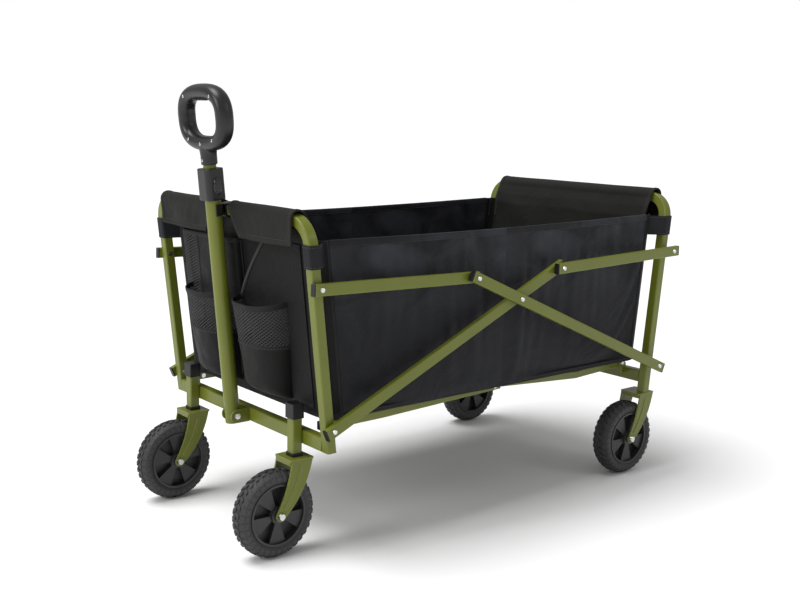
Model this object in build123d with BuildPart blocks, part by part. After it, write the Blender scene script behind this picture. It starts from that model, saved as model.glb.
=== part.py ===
"""Folding camp wagon. Millimetres, +Z up. +X runs from the handle end to the rear end."""
from build123d import *
from math import atan2, cos, degrees, hypot, radians, sin, sqrt, tan
import os

os.makedirs("parts", exist_ok=True)

ENDS = {"front": -1, "rear": 1}
SIDES = {"left": -1, "right": 1}

# --- layout: the wagon's middle lies this far behind the middle of its bounding box
middle_x = 43
base = 900  # between the lower pivots of the two end frames
post_spread = 536  # between the centres of the left and right posts
lean = 6.5  # degrees that each end frame leans outwards
low_pivot_z = 249  # lower side pivots
post_pitch = 260  # from the lower to the upper pivot along a post
cross_z = 446  # where the two long arms cross
arm_short = 130  # from the crossing to an arm's top pivot

# --- square tube of the end frames
post = 20
post_corner = 3
post_wall = 1.4
rail_z = 625
hoop_bend = 45
front_foot_z = 205
crossbar_h = 27
crossbar_wall = 1.4

# --- flat tube of the side linkages, in two layers outside the posts
bar_h = 22
bar_t = 11
bar_corner = 2
bar_wall = 1.2
bar_end = 14
layer_gap = 3
post_gap = 2
cap_t = 3
plug_depth = 7

# --- rivets and bolts
rivet_r = 3
rivet_head_r = 4.8
rivet_head_t = 2
rivet_tail_t = 1.2
bush_r = 6.5
running = 0.06  # radial clearance of every pin in its hole
seat = 0.2  # face clearance between seated pieces

# --- wheels, forks and swivels
wheel_d = 165
wheel_w = 42
tyre_t = 24
shoulder = 9
tread_depth = 2.5
tread_w = 4
rim_t = 4
hub_r = 15
web_t = 5
spoke_count = 5
spoke_angle = 37  # degrees of each wedge spoke
spoke_inset = 3
spoke_start = 53  # direction of the first spoke
axle_r = 5
axle_head_r = 7
axle_head_t = 3.5
trail = 47
fork_plate = 51
fork_t = 3
fork_gap = 3  # between the wheel and a fork arm
fork_top_z = 183
fork_flange = 9
fork_boss_r = 10
fork_rib_w = 7
fork_rib_t = 1.2
stem = 21
stem_wall = 1.6
stem_y = 190
stem_top_z = 255
collar_h = 7
stem_cap_h = 28
stem_cap_w = 25
kingpin_head_r = 8
kingpin_head_t = 5

# --- floor frames
floor_bar = 16
floor_bar_wall = 1.2
floor_bar_gap = 2
front_floor_y = 228  # centre of the front floor frame's bars
floor_pivot_in = 26  # from the lower side pivot towards the middle
floor_pivot_z = 243
floor_pin_z = 254
floor_tail = 11
floor_tip = 14
front_kink = (-293, 244)
rear_kink = (271, 236)
floor_cross_in = 224
floor_ear_t = 3
floor_ear_r = 9
floor_panel_t = 3
floor_lift = 1.6  # from the bars at the centre pin up to the floor panel

# --- pull handle
handle_x = -485
handle_z = 219
handle_lean = 5.5
handle_tube_r = 15
handle_tube_wall = 1.5
handle_tail = 15
handle_show = 427  # from the pivot to the underside of the lock collar
lock_h = 60
lock_x = 40
lock_y = 44
lock_corner = 11
lock_sleeve = 46  # how far the outer tube reaches into the collar
inner_tube_r = 12.4
inner_tube_wall = 1.2
inner_tube_start = 100
button_w = 15
button_h = 34
button_pocket = 5.5
button_proud = 1.2
button_travel = 3
bracket_t = 3
bracket_gap = 0.6
handle_bolt_r = 4
clip_t = 3
clip_w = 26
clip_h = 22

# --- D grip
grip_w = 139
grip_top = 644
grip_bottom = 519
grip_depth = 27
grip_round = 9
grip_corner = 15
grip_neck_r = 17
grip_socket = 30
grip_start = 493
opening_top = 612
opening_bottom = 553
opening_top_w = 74
opening_mid_w = 88
opening_bottom_w = 58
opening_corner = 12
insert_w = 60
insert_h = 5
insert_depth = 17
insert_ridges = 7
grip_screw_r = 3.2

# --- fabric tub
fabric = 3
tub_bottom_z = 258
tub_top_z = 587
tub_half_w = 255.5
wall_offset = 11.5  # from the posts' centre plane to the end walls
flap_gap = 14.8
flap_hem_z = 580
flap_inside_z = 592
flap_half = 238
notch_top_half = 27
notch_low_half = 62
loop_z = (542, 584)
loop_t = 1.2
cup_y = (20, 160)
cup_depth = 58
cup_z = (276, 462)
cup_mesh_z = 378
pouch_y = (-16, 190)
pouch_z = (414, 566)
pouch_depth = 26
pocket_t = 2

# --- derived places
half_base = base / 2
post_y = post_spread / 2
slope = tan(radians(lean))
post_out = post_y + post / 2
post_in = post_y - post / 2
inner_y = post_out + post_gap + bar_t / 2
outer_y = inner_y + bar_t + layer_gap
arm_long = hypot(half_base, cross_z - low_pivot_z)
arm_angle = atan2(cross_z - low_pivot_z, half_base)
top_x = arm_short * cos(arm_angle)
top_z = cross_z + arm_short * sin(arm_angle)
upper_x = half_base + post_pitch * sin(radians(lean))
upper_z = low_pivot_z + post_pitch * cos(radians(lean))
wheel_r = wheel_d / 2
crossbar_z = front_foot_z + crossbar_h / 2
stem_x = -(half_base + (crossbar_z - low_pivot_z) * slope + post / 2 + stem / 2 + seat)
rear_floor_y = front_floor_y - floor_bar - floor_bar_gap
floor_pivot_x = half_base - floor_pivot_in
rear_fork_x = half_base - (low_pivot_z - fork_top_z) * slope


def post_x(z):
    """Distance of a post's centre line from the wagon's middle, at height z."""
    return half_base + (z - low_pivot_z) * slope


def end_plane(end, inwards=0):
    """Leaning plane of an end frame: local X runs across the wagon, local Y up the posts."""
    normal = Vector(cos(radians(lean)), 0, -end * sin(radians(lean)))
    origin = Vector(middle_x + end * half_base, 0, low_pivot_z) - normal * (end * inwards)
    return Plane(origin=origin, x_dir=(0, 1, 0), z_dir=normal)


def up_post(z):
    """Local Y on an end plane of the point at height z."""
    return (z - low_pivot_z) / cos(radians(lean))


def outward(x, z, y, side):
    """Plane at (x, z) from the wagon's middle whose normal points out of one side."""
    return Plane(origin=(middle_x + x, side * y, z), x_dir=(1, 0, 0), z_dir=(0, side, 0))


def side_plane(y):
    """Upright plane along the wagon at y: local X is X from the middle, local Y is Z."""
    return Plane(origin=(middle_x, y, 0), x_dir=(1, 0, 0), z_dir=(0, -1, 0))


def along(start, stop, y, before=0):
    """Plane across a bar that runs from start to stop, moved back by before."""
    step = Vector(stop[0] - start[0], 0, stop[1] - start[1]).normalized()
    origin = Vector(middle_x + start[0], y, start[1]) - step * before
    return Plane(origin=origin, x_dir=(0, 1, 0), z_dir=step)


def handle_plane(s):
    """Plane across the handle at distance s from its pivot: local X is Y, local Y points forward."""
    step = Vector(-sin(radians(handle_lean)), 0, cos(radians(handle_lean)))
    origin = Vector(middle_x + handle_x, 0, handle_z) + step * s
    return Plane(origin=origin, x_dir=(0, 1, 0), z_dir=step)


def handle_face(forwards=0):
    """Plane along the handle and across the wagon: local X is Y, local Y runs up the handle."""
    normal = Vector(cos(radians(handle_lean)), 0, sin(radians(handle_lean)))
    origin = Vector(middle_x + handle_x, 0, handle_z) - normal * forwards
    return Plane(origin=origin, x_dir=(0, 1, 0), z_dir=normal)


def flat_tube(start, stop, y, tail, tip):
    """Adds a hollow flat tube from start to stop to the open part, with its two ends."""
    length = tail + hypot(stop[0] - start[0], stop[1] - start[1]) + tip
    with BuildSketch(along(start, stop, y, tail)) as shape:
        RectangleRounded(bar_t, bar_h, bar_corner)
        RectangleRounded(bar_t - 2 * bar_wall, bar_h - 2 * bar_wall, bar_corner - bar_wall / 2, mode=Mode.SUBTRACT)
    extrude(shape.sketch, amount=length)


def drill(points, y, depth, radius):
    """Cuts round holes along Y through the open part, centred on y."""
    with BuildSketch(side_plane(y)) as shape:
        with Locations(*points):
            Circle(radius)
    extrude(shape.sketch, amount=depth / 2, both=True, mode=Mode.SUBTRACT)


def end_cap(start, stop, y, before, width, height, wall, corner):
    """Adds a tube's plastic end cap: a plate on the end and a plug inside it."""
    face = along(start, stop, y, before)
    with BuildSketch(face) as shape:
        RectangleRounded(width, height, corner)
    extrude(shape.sketch, amount=-cap_t)
    with BuildSketch(face) as shape:
        RectangleRounded(width - 2 * wall - 2 * seat, height - 2 * wall - 2 * seat, corner)
    extrude(shape.sketch, amount=plug_depth)


def rivet(x, z, inside, outside, side, radius=rivet_r, head_r=rivet_head_r):
    """Adds a rivet from y = inside to outside: its shank, outer head and flat tail."""
    with BuildSketch(outward(x, z, inside - rivet_tail_t, side)) as shape:
        Circle(head_r)
    extrude(shape.sketch, amount=rivet_tail_t)
    with BuildSketch(outward(x, z, inside, side)) as shape:
        Circle(radius)
    extrude(shape.sketch, amount=outside - inside)
    with BuildSketch(outward(x, z, outside, side)) as shape:
        Circle(head_r)
    extrude(shape.sketch, amount=rivet_head_t, taper=20)


def bush(x, z, inside, outside, side, radius=rivet_r):
    """Adds a spacer ring around a rivet between two seats."""
    with BuildSketch(outward(x, z, inside, side)) as shape:
        Circle(bush_r)
        Circle(radius + running, mode=Mode.SUBTRACT)
    extrude(shape.sketch, amount=outside - inside)


# --- end frames: one bent square tube each, drilled for the side pivots
for name, end in ENDS.items():
    foot_z = front_foot_z if name == "front" else fork_top_z
    with BuildPart() as hoop:
        with BuildLine(end_plane(end)) as path:
            FilletPolyline(
                (-post_y, up_post(foot_z) - post),
                (-post_y, up_post(rail_z)),
                (post_y, up_post(rail_z)),
                (post_y, up_post(foot_z) - post),
                radius=hoop_bend,
            )
        with BuildSketch(Plane(origin=path.line @ 0, x_dir=(0, 1, 0), z_dir=path.line % 0)):
            RectangleRounded(post, post, post_corner)
            RectangleRounded(post - 2 * post_wall, post - 2 * post_wall, post_corner - post_wall, mode=Mode.SUBTRACT)
        sweep(path=path.line)
        split(bisect_by=Plane.XY.offset(foot_z), keep=Keep.TOP)
        pivots = [(end * half_base, low_pivot_z), (end * upper_x, upper_z)]
        for side in SIDES.values():
            drill(pivots, side * post_y, 2 * post, rivet_r + running)
    hoop.part.label = f"{name}_hoop"
    export_step(hoop.part, f"parts/{name}_hoop.step")

# --- crossbars between the post feet, with welded ears for the floor frames
for name, end in ENDS.items():
    bar_x = end * post_x(crossbar_z)
    ear_y = (front_floor_y if name == "front" else rear_floor_y) + floor_bar / 2 + seat
    ear_reach = post_x(crossbar_z) - post / 2 - floor_pivot_x
    ear_drop = floor_pivot_z - crossbar_z - 2
    with BuildPart() as crossbar:
        with BuildSketch(Plane(origin=(middle_x + bar_x, -post_in, crossbar_z), x_dir=(1, 0, 0), z_dir=(0, 1, 0))):
            RectangleRounded(post, crossbar_h, post_corner)
            RectangleRounded(
                post - 2 * crossbar_wall, crossbar_h - 2 * crossbar_wall, post_corner - crossbar_wall, mode=Mode.SUBTRACT
            )
        extrude(amount=2 * post_in)
        for side in SIDES.values():
            with BuildSketch(outward(end * floor_pivot_x, floor_pivot_z, ear_y, side)) as ear:
                SlotCenterPoint((0, 0), (0, 0.1), 2 * floor_ear_r)
                with Locations((end * ear_reach / 2, side * ear_drop / 2)):
                    Rectangle(ear_reach + 2, ear_drop)
                Circle(rivet_r + running, mode=Mode.SUBTRACT)
            extrude(amount=floor_ear_t)
    crossbar.part.label = f"{name}_crossbar"
    export_step(crossbar.part, f"parts/{name}_crossbar.step")

# --- stems of the front casters, standing in front of the crossbar and welded to it
with BuildPart() as caster_stems:
    for side in SIDES.values():
        with BuildSketch(Plane(origin=(middle_x + stem_x, side * stem_y, fork_top_z + collar_h), z_dir=(0, 0, 1))):
            RectangleRounded(stem, stem, post_corner)
            RectangleRounded(stem - 2 * stem_wall, stem - 2 * stem_wall, post_corner - stem_wall, mode=Mode.SUBTRACT)
        extrude(amount=stem_top_z - fork_top_z - collar_h)
caster_stems.part.label = "caster_stems"
export_step(caster_stems.part, "parts/caster_stems.step")

with BuildPart() as stem_caps:
    for side in SIDES.values():
        with BuildSketch(Plane(origin=(middle_x + stem_x, side * stem_y, stem_top_z), z_dir=(0, 0, 1))):
            RectangleRounded(stem_cap_w, stem_cap_w + 2, 2)
            with Locations((stem_cap_w / 2, 0)):
                Rectangle(8, stem_cap_w / 3, mode=Mode.SUBTRACT)
        extrude(amount=stem_cap_h)
        with BuildSketch(Plane(origin=(middle_x + stem_x, side * stem_y, stem_top_z), z_dir=(0, 0, 1))):
            RectangleRounded(stem - 2 * stem_wall - 2 * seat, stem - 2 * stem_wall - 2 * seat, post_corner)
        extrude(amount=-plug_depth)
stem_caps.part.label = "stem_caps"
export_step(stem_caps.part, "parts/stem_caps.step")

with BuildPart() as swivel_collars:
    for side in SIDES.values():
        with BuildSketch(Plane(origin=(middle_x + stem_x, side * stem_y, fork_top_z + seat), z_dir=(0, 0, 1))):
            RectangleRounded(stem + 3, stem + 3, post_corner)
            Circle(axle_r + running, mode=Mode.SUBTRACT)
        extrude(amount=collar_h - seat)
        with BuildSketch(Plane(origin=(middle_x + stem_x, side * stem_y, fork_top_z + collar_h), z_dir=(0, 0, 1))):
            RectangleRounded(stem - 2 * stem_wall - 2 * seat, stem - 2 * stem_wall - 2 * seat, post_corner)
            Circle(axle_r + running, mode=Mode.SUBTRACT)
        extrude(amount=2 * plug_depth)
swivel_collars.part.label = "swivel_collars"
export_step(swivel_collars.part, "parts/swivel_collars.step")

with BuildPart() as swivel_kingpins:
    for side in SIDES.values():
        pin_z = fork_top_z - fork_t - seat
        with BuildSketch(Plane(origin=(middle_x + stem_x, side * stem_y, pin_z), z_dir=(0, 0, 1))):
            RegularPolygon(kingpin_head_r, 6)
        extrude(amount=-kingpin_head_t)
        with BuildSketch(Plane(origin=(middle_x + stem_x, side * stem_y, pin_z), z_dir=(0, 0, 1))):
            Circle(axle_r)
        extrude(amount=fork_t + 2 * seat + collar_h + 2 * plug_depth + axle_r)
        with BuildSketch(
            Plane(origin=(middle_x + stem_x, side * stem_y, fork_top_z + collar_h + 2 * plug_depth + seat), z_dir=(0, 0, 1))
        ):
            RegularPolygon(kingpin_head_r, 6)
        extrude(amount=axle_r)
swivel_kingpins.part.label = "swivel_kingpins"
export_step(swivel_kingpins.part, "parts/swivel_kingpins.step")


# --- forks: a pressed plate with a front flange and two cheeks that sweep forward to the axle
def fork(x, y):
    """Adds one fork to the open part. Its plate is centred on (x, y), its axle is trail ahead."""
    arm_y = wheel_w / 2 + fork_gap
    axle_x = x - trail
    plate_y = 2 * (arm_y + fork_t)
    with BuildSketch(Plane(origin=(middle_x + x, y, fork_top_z), z_dir=(0, 0, 1))) as shape:
        RectangleRounded(fork_plate, plate_y, 3)
    extrude(shape.sketch, amount=-fork_t)
    with BuildSketch(Plane(origin=(middle_x + x - fork_plate / 2 + fork_t / 2, y, fork_top_z - fork_t / 2), z_dir=(0, 0, 1))) as shape:
        Rectangle(fork_t, plate_y - 6)
    extrude(shape.sketch, amount=-fork_flange)
    boss = fork_boss_r
    low, high = radians(-32), radians(148)
    rear_low = (axle_x + boss * cos(low), wheel_r + boss * sin(low))
    front_low = (axle_x + boss * cos(high), wheel_r + boss * sin(high))
    bottom = (axle_x + boss * cos(radians(238)), wheel_r + boss * sin(radians(238)))
    top_z = fork_top_z - 1
    for cheek in (-1, 1):
        with BuildSketch(side_plane(y + cheek * (arm_y + fork_t / 2))) as shape:
            with BuildLine():
                Polyline((x - fork_plate / 2 + 3, top_z), (x + fork_plate / 2 - 3, top_z))
                ThreePointArc((x + fork_plate / 2 - 3, top_z), (x + 4, 130), rear_low)
                ThreePointArc(rear_low, bottom, front_low)
                ThreePointArc(front_low, (x - 33, 137), (x - fork_plate / 2 + 3, top_z))
            make_face()
        extrude(shape.sketch, amount=fork_t / 2, both=True)
        rib = ThreePointArc(
            (axle_x + 11, wheel_r + 15), (x - 14, 134), (x - 3, fork_top_z - 16), mode=Mode.PRIVATE
        )
        with BuildSketch(side_plane(y + cheek * (arm_y + fork_t))) as shape:
            SlotArc(rib, fork_rib_w)
        extrude(shape.sketch, amount=-cheek * fork_rib_t)
    drill([(axle_x, wheel_r)], y, 2 * plate_y, axle_r + running)


def axle(x, y):
    """Adds one axle bolt with a head outside each cheek of its fork."""
    reach = wheel_w / 2 + fork_gap + fork_t + fork_rib_t + seat
    for cheek in (-1, 1):
        with BuildSketch(Plane(origin=(middle_x + x - trail, y, wheel_r), x_dir=(1, 0, 0), z_dir=(0, cheek, 0))) as shape:
            Circle(axle_r)
        extrude(shape.sketch, amount=reach)
        with BuildSketch(
            Plane(origin=(middle_x + x - trail, y + cheek * reach, wheel_r), x_dir=(1, 0, 0), z_dir=(0, cheek, 0))
        ) as shape:
            Circle(axle_head_r)
        extrude(shape.sketch, amount=axle_head_t, taper=18)


for side_name, side in SIDES.items():
    with BuildPart() as caster_fork:
        fork(stem_x, side * stem_y)
        with BuildSketch(Plane(origin=(middle_x + stem_x, side * stem_y, fork_top_z), z_dir=(0, 0, 1))):
            Circle(axle_r + running)
        extrude(amount=-2 * fork_t, mode=Mode.SUBTRACT)
    caster_fork.part.label = f"caster_fork_{side_name}"
    export_step(caster_fork.part, f"parts/caster_fork_{side_name}.step")

    with BuildPart() as caster_axle:
        axle(stem_x, side * stem_y)
    caster_axle.part.label = f"caster_axle_{side_name}"
    export_step(caster_axle.part, f"parts/caster_axle_{side_name}.step")

with BuildPart() as rear_forks:
    for side in SIDES.values():
        fork(rear_fork_x, side * (post_y - 15))
rear_forks.part.label = "rear_forks"
export_step(rear_forks.part, "parts/rear_forks.step")

with BuildPart() as rear_axles:
    for side in SIDES.values():
        axle(rear_fork_x, side * (post_y - 15))
rear_axles.part.label = "rear_axles"
export_step(rear_axles.part, "parts/rear_axles.step")

# --- wheels: a moulded hub with wedge spokes and a moulded tyre with a grooved tread
rim_r = wheel_r - tyre_t
for end_name, end in ENDS.items():
    for side_name, side in SIDES.items():
        wheel_x = (stem_x if end_name == "front" else rear_fork_x) - trail
        wheel_y = side * (stem_y if end_name == "front" else post_y - 15)
        label = f"{end_name}_{side_name}"
        hub_plane = Plane(origin=(middle_x + wheel_x, wheel_y, wheel_r), x_dir=(1, 0, 0), z_dir=(0, side, 0))
        with BuildPart() as tyre:
            with BuildSketch(Plane(origin=(middle_x + wheel_x, wheel_y, wheel_r), x_dir=(0, 1, 0), z_dir=(1, 0, 0))) as section:
                with Locations((0, wheel_r - tyre_t / 2 + seat / 2)):
                    Rectangle(wheel_w, tyre_t - seat)
                fillet(section.vertices().group_by(Axis.Y)[-1], shoulder)
                with Locations(*[(step * wheel_w / 4, wheel_r) for step in (-1, 0, 1)]):
                    Rectangle(tread_w, 2 * tread_depth, mode=Mode.SUBTRACT)
            revolve(axis=Axis((middle_x + wheel_x, wheel_y, wheel_r), (0, 1, 0)))
        tyre.part.label = f"tyre_{label}"
        export_step(tyre.part, f"parts/tyre_{label}.step")

        with BuildPart() as hub:
            with BuildSketch(hub_plane):
                Circle(rim_r)
            extrude(amount=wheel_w / 2 - 1, both=True)
            with BuildSketch(hub_plane.offset(wheel_w / 2 - spoke_inset), hub_plane.offset(spoke_inset - wheel_w / 2)):
                Circle(rim_r - rim_t)
                Circle(hub_r, mode=Mode.SUBTRACT)
            extrude(amount=spoke_inset, both=True, mode=Mode.SUBTRACT)
            inner_r, outer_r = hub_r + 1, rim_r - rim_t
            half = radians(180 / spoke_count - spoke_angle / 2)
            for face in (-1, 1):
                with BuildSketch(hub_plane.offset(face * web_t / 2)):
                    for spoke in range(spoke_count):
                        mid = radians(spoke_start + (spoke + 0.5) * 360 / spoke_count)
                        corners = [(inner_r, -half), (outer_r, -half), (outer_r, 0), (outer_r, half), (inner_r, half)]
                        points = [(r * cos(mid + turn), r * sin(mid + turn)) for r, turn in corners]
                        with BuildLine():
                            Line(points[0], points[1])
                            ThreePointArc(*points[1:4])
                            Line(points[3], points[4])
                            ThreePointArc(points[4], (inner_r * cos(mid), inner_r * sin(mid)), points[0])
                        make_face()
                extrude(amount=face * wheel_w, mode=Mode.SUBTRACT)
            drill([(wheel_x, wheel_r)], wheel_y, 2 * wheel_w, axle_r + running)
        hub.part.label = f"hub_{label}"
        export_step(hub.part, f"parts/hub_{label}.step")

# --- side linkages: two long arms and two upper links on each side
low = half_base, low_pivot_z
BARS = {
    # name: (start, stop, layer, drilled points)
    "arms_a": ((-half_base, low_pivot_z), (top_x, top_z), inner_y),
    "arms_b": ((half_base, low_pivot_z), (-top_x, top_z), outer_y),
    "links_front": ((-upper_x, upper_z), (-top_x, top_z), inner_y),
    "links_rear": ((upper_x, upper_z), (top_x, top_z), outer_y),
}
for name, (start, stop, layer) in BARS.items():
    with BuildPart() as tubes:
        for side in SIDES.values():
            flat_tube(start, stop, side * layer, bar_end, bar_end)
            holes = [start, stop] + ([(0, cross_z)] if name.startswith("arms") else [])
            drill(holes, side * layer, 2 * bar_t, rivet_r + running)
    tubes.part.label = name
    export_step(tubes.part, f"parts/{name}.step")

    with BuildPart() as caps:
        for side in SIDES.values():
            for near, far in ((start, stop), (stop, start)):
                end_cap(near, far, side * layer, bar_end, bar_t, bar_h, bar_wall, bar_corner)
        if name == "arms_b":
            for side in SIDES.values():
                bush(0, cross_z, inner_y + bar_t / 2 + seat, outer_y - bar_t / 2 - seat, side)
    caps.part.label = f"{name}_caps"
    export_step(caps.part, f"parts/{name}_caps.step")

inner_face = inner_y + bar_t / 2
outer_face = outer_y + bar_t / 2
floor_face = front_floor_y + floor_bar / 2
with BuildPart() as front_bolts:
    for side in SIDES.values():
        for x, z in ((-half_base, low_pivot_z), (-upper_x, upper_z)):
            rivet(x, z, post_in, inner_face + seat, side)
            bush(x, z, post_out + seat / 2, inner_face - bar_t - seat / 2, side, rivet_r - running)
        rivet(-floor_pivot_x, floor_pivot_z, floor_face - floor_bar - seat, floor_face + floor_ear_t + seat, side)
    with BuildSketch(outward(handle_x, handle_z, -handle_tube_r - bracket_gap - bracket_t - seat, 1)):
        Circle(handle_bolt_r)
    extrude(amount=2 * (handle_tube_r + bracket_gap + bracket_t + seat))
    for side in SIDES.values():
        with BuildSketch(outward(handle_x, handle_z, handle_tube_r + bracket_gap + bracket_t + seat, side)):
            Circle(handle_bolt_r + 2.4)
        extrude(amount=2.5, taper=15)
front_bolts.part.label = "front_bolts"
export_step(front_bolts.part, "parts/front_bolts.step")

with BuildPart() as rear_bolts:
    for side in SIDES.values():
        for x, z in ((half_base, low_pivot_z), (upper_x, upper_z)):
            rivet(x, z, post_in, outer_face + seat, side)
            bush(x, z, post_out + seat / 2, outer_face - bar_t - seat / 2, side, rivet_r - running)
        rear_face = rear_floor_y + floor_bar / 2
        rivet(floor_pivot_x, floor_pivot_z, rear_face - floor_bar - seat, rear_face + floor_ear_t + seat, side)
rear_bolts.part.label = "rear_bolts"
export_step(rear_bolts.part, "parts/rear_bolts.step")

with BuildPart() as arm_rivets:
    for side in SIDES.values():
        rivet(0, cross_z, inner_face - bar_t - seat, outer_face + seat, side)
        rivet(-top_x, top_z, outer_face - bar_t - seat, outer_face + seat, side)
arm_rivets.part.label = "arm_rivets"
export_step(arm_rivets.part, "parts/arm_rivets.step")

with BuildPart() as link_rivets:
    for side in SIDES.values():
        rivet(top_x, top_z, outer_face - bar_t - seat, outer_face + seat, side)
link_rivets.part.label = "link_rivets"
export_step(link_rivets.part, "parts/link_rivets.step")

# --- floor frames: two kinked side bars and a cross tube each, hinged on the crossbar ears
FLOORS = {"front": (-1, front_floor_y, front_kink), "rear": (1, rear_floor_y, rear_kink)}
for name, (end, bar_y, kink) in FLOORS.items():
    pivot = (end * floor_pivot_x, floor_pivot_z)
    pin = (0, floor_pin_z)
    tail_step = Vector(pivot[0] - kink[0], pivot[1] - kink[1]).normalized() * floor_tail
    tip_step = Vector(pin[0] - kink[0], pin[1] - kink[1]).normalized() * floor_tip
    tail = (pivot[0] + tail_step.X, pivot[1] + tail_step.Y)
    tip = (pin[0] + tip_step.X, pin[1] + tip_step.Y)
    cross_x = end * floor_cross_in
    cross_tube_z = kink[1] + (pin[1] - kink[1]) * (cross_x - kink[0]) / (pin[0] - kink[0])
    hole = rivet_r + running
    with BuildPart() as floor_frame:
        for side in SIDES.values():
            with BuildLine(side_plane(side * bar_y)) as route:
                FilletPolyline(tail, kink, tip, radius=60)
            with BuildSketch(Plane(origin=route.line @ 0, x_dir=(0, 1, 0), z_dir=route.line % 0)):
                RectangleRounded(floor_bar, floor_bar, 2)
                RectangleRounded(floor_bar - 2 * floor_bar_wall, floor_bar - 2 * floor_bar_wall, 1, mode=Mode.SUBTRACT)
            sweep(path=route.line)
            drill([pivot, pin] if name == "front" else [pivot], side * bar_y, 2 * floor_bar, hole)
        span = 2 * (bar_y - floor_bar / 2)
        with BuildSketch(Plane(origin=(middle_x + cross_x, -span / 2, cross_tube_z), x_dir=(1, 0, 0), z_dir=(0, 1, 0))):
            RectangleRounded(floor_bar, floor_bar, 2)
            RectangleRounded(floor_bar - 2 * floor_bar_wall, floor_bar - 2 * floor_bar_wall, 1, mode=Mode.SUBTRACT)
        extrude(amount=span)
    floor_frame.part.label = f"{name}_floor_frame"
    export_step(floor_frame.part, f"parts/{name}_floor_frame.step")

    with BuildPart() as floor_caps:
        for side in SIDES.values():
            for near in (tail, tip):
                end_cap(near, kink, side * bar_y, 0, floor_bar, floor_bar, floor_bar_wall, 2)
    floor_caps.part.label = f"{name}_floor_caps"
    export_step(floor_caps.part, f"parts/{name}_floor_caps.step")

    with BuildPart() as floor_panel:
        inner_x = post_x(tub_bottom_z) - wall_offset - fabric - 1.2
        panel_z = floor_pin_z + floor_bar / 2 + floor_lift
        with BuildSketch(Plane.XY.offset(panel_z)):
            with Locations((middle_x + end * (inner_x + seat) / 2, 0)):
                Rectangle(inner_x - seat, 2 * (tub_half_w - fabric - 0.5))
        extrude(amount=floor_panel_t)
    floor_panel.part.label = f"{name}_floor_panel"
    export_step(floor_panel.part, f"parts/{name}_floor_panel.step")

with BuildPart() as floor_pins:
    for side in SIDES.values():
        rivet(0, floor_pin_z, floor_face - floor_bar - seat / 2, floor_face + seat, side)
floor_pins.part.label = "floor_pins"
export_step(floor_pins.part, "parts/floor_pins.step")

# --- handle bracket: a U of plate welded to the front face of the crossbar
bracket_in = handle_tube_r + bracket_gap
bracket_back = -post_x(crossbar_z) - post / 2
with BuildPart() as handle_bracket:
    with BuildSketch(Plane(origin=(middle_x + bracket_back, 0, crossbar_z), x_dir=(0, 1, 0), z_dir=(-1, 0, 0))):
        Rectangle(2 * (bracket_in + bracket_t), crossbar_h)
    extrude(amount=bracket_t)
    for side in SIDES.values():
        with BuildSketch(side_plane(side * (bracket_in + bracket_t / 2))):
            with Locations(((bracket_back + handle_x) / 2, crossbar_z)):
                Rectangle(bracket_back - handle_x, crossbar_h)
            with Locations((handle_x, crossbar_z)):
                Circle(crossbar_h / 2)
            with Locations((handle_x, handle_z)):
                Circle(handle_bolt_r + running, mode=Mode.SUBTRACT)
        extrude(amount=bracket_t / 2, both=True)
handle_bracket.part.label = "handle_bracket"
export_step(handle_bracket.part, "parts/handle_bracket.step")

# --- rail clip: a square sleeve on the front rail with a cradle for the parked handle
cradle_s = (rail_z - handle_z) / cos(radians(handle_lean))
with BuildPart() as rail_clip:
    with BuildSketch(
        Plane(
            origin=(middle_x - post_x(rail_z), -clip_w / 2, rail_z),
            x_dir=(cos(radians(lean)), 0, sin(radians(lean))),
            z_dir=(0, 1, 0),
        )
    ):
        RectangleRounded(post + 2 * clip_t, post + 2 * clip_t, post_corner)
        RectangleRounded(post + 2 * seat, post + 2 * seat, post_corner, mode=Mode.SUBTRACT)
    extrude(amount=clip_w)
    with BuildSketch(handle_plane(cradle_s - clip_h / 2)):
        cradle_in = handle_tube_r + seat
        Circle(cradle_in + clip_t)
        with Locations((0, cradle_in + clip_t)):
            Rectangle(4 * cradle_in, 2 * (cradle_in + clip_t), mode=Mode.SUBTRACT)
        for side in SIDES.values():
            with Locations((side * (cradle_in + clip_t / 2), 2)):
                Rectangle(clip_t, 4.2)
        Circle(cradle_in, mode=Mode.SUBTRACT)
        with Locations((0, 4)):
            Rectangle(2 * cradle_in, 8, mode=Mode.SUBTRACT)
    extrude(amount=clip_h)
rail_clip.part.label = "rail_clip"
export_step(rail_clip.part, "parts/rail_clip.step")

# --- telescopic handle
with BuildPart() as handle_tube:
    with BuildSketch(handle_plane(-handle_tail)):
        Circle(handle_tube_r)
        Circle(handle_tube_r - handle_tube_wall, mode=Mode.SUBTRACT)
    extrude(amount=handle_tail + handle_show + lock_sleeve)
    drill([(handle_x, handle_z)], 0, 4 * handle_tube_r, handle_bolt_r + running)
handle_tube.part.label = "handle_tube"
export_step(handle_tube.part, "parts/handle_tube.step")

button_plane = Plane(
    origin=handle_plane(handle_show + lock_h * 0.45).origin + Vector(0, -lock_y / 2, 0),
    x_dir=(cos(radians(handle_lean)), 0, sin(radians(handle_lean))),
    z_dir=(0, -1, 0),
)
with BuildPart() as lock_collar:
    with BuildSketch(handle_plane(handle_show)):
        RectangleRounded(lock_y, lock_x, lock_corner)
    extrude(amount=lock_h)
    fillet(lock_collar.edges().group_by(Axis.Z)[-1] + lock_collar.edges().group_by(Axis.Z)[0], 2)
    with BuildSketch(handle_plane(handle_show)):
        Circle(handle_tube_r + seat)
    extrude(amount=lock_sleeve + seat, mode=Mode.SUBTRACT)
    with BuildSketch(handle_plane(handle_show)):
        Circle(inner_tube_r + seat)
    extrude(amount=lock_h, mode=Mode.SUBTRACT)
    with BuildSketch(button_plane):
        SlotOverall(button_h, button_w, rotation=90)
    extrude(amount=-button_pocket, mode=Mode.SUBTRACT)
lock_collar.part.label = "lock_collar"
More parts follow.
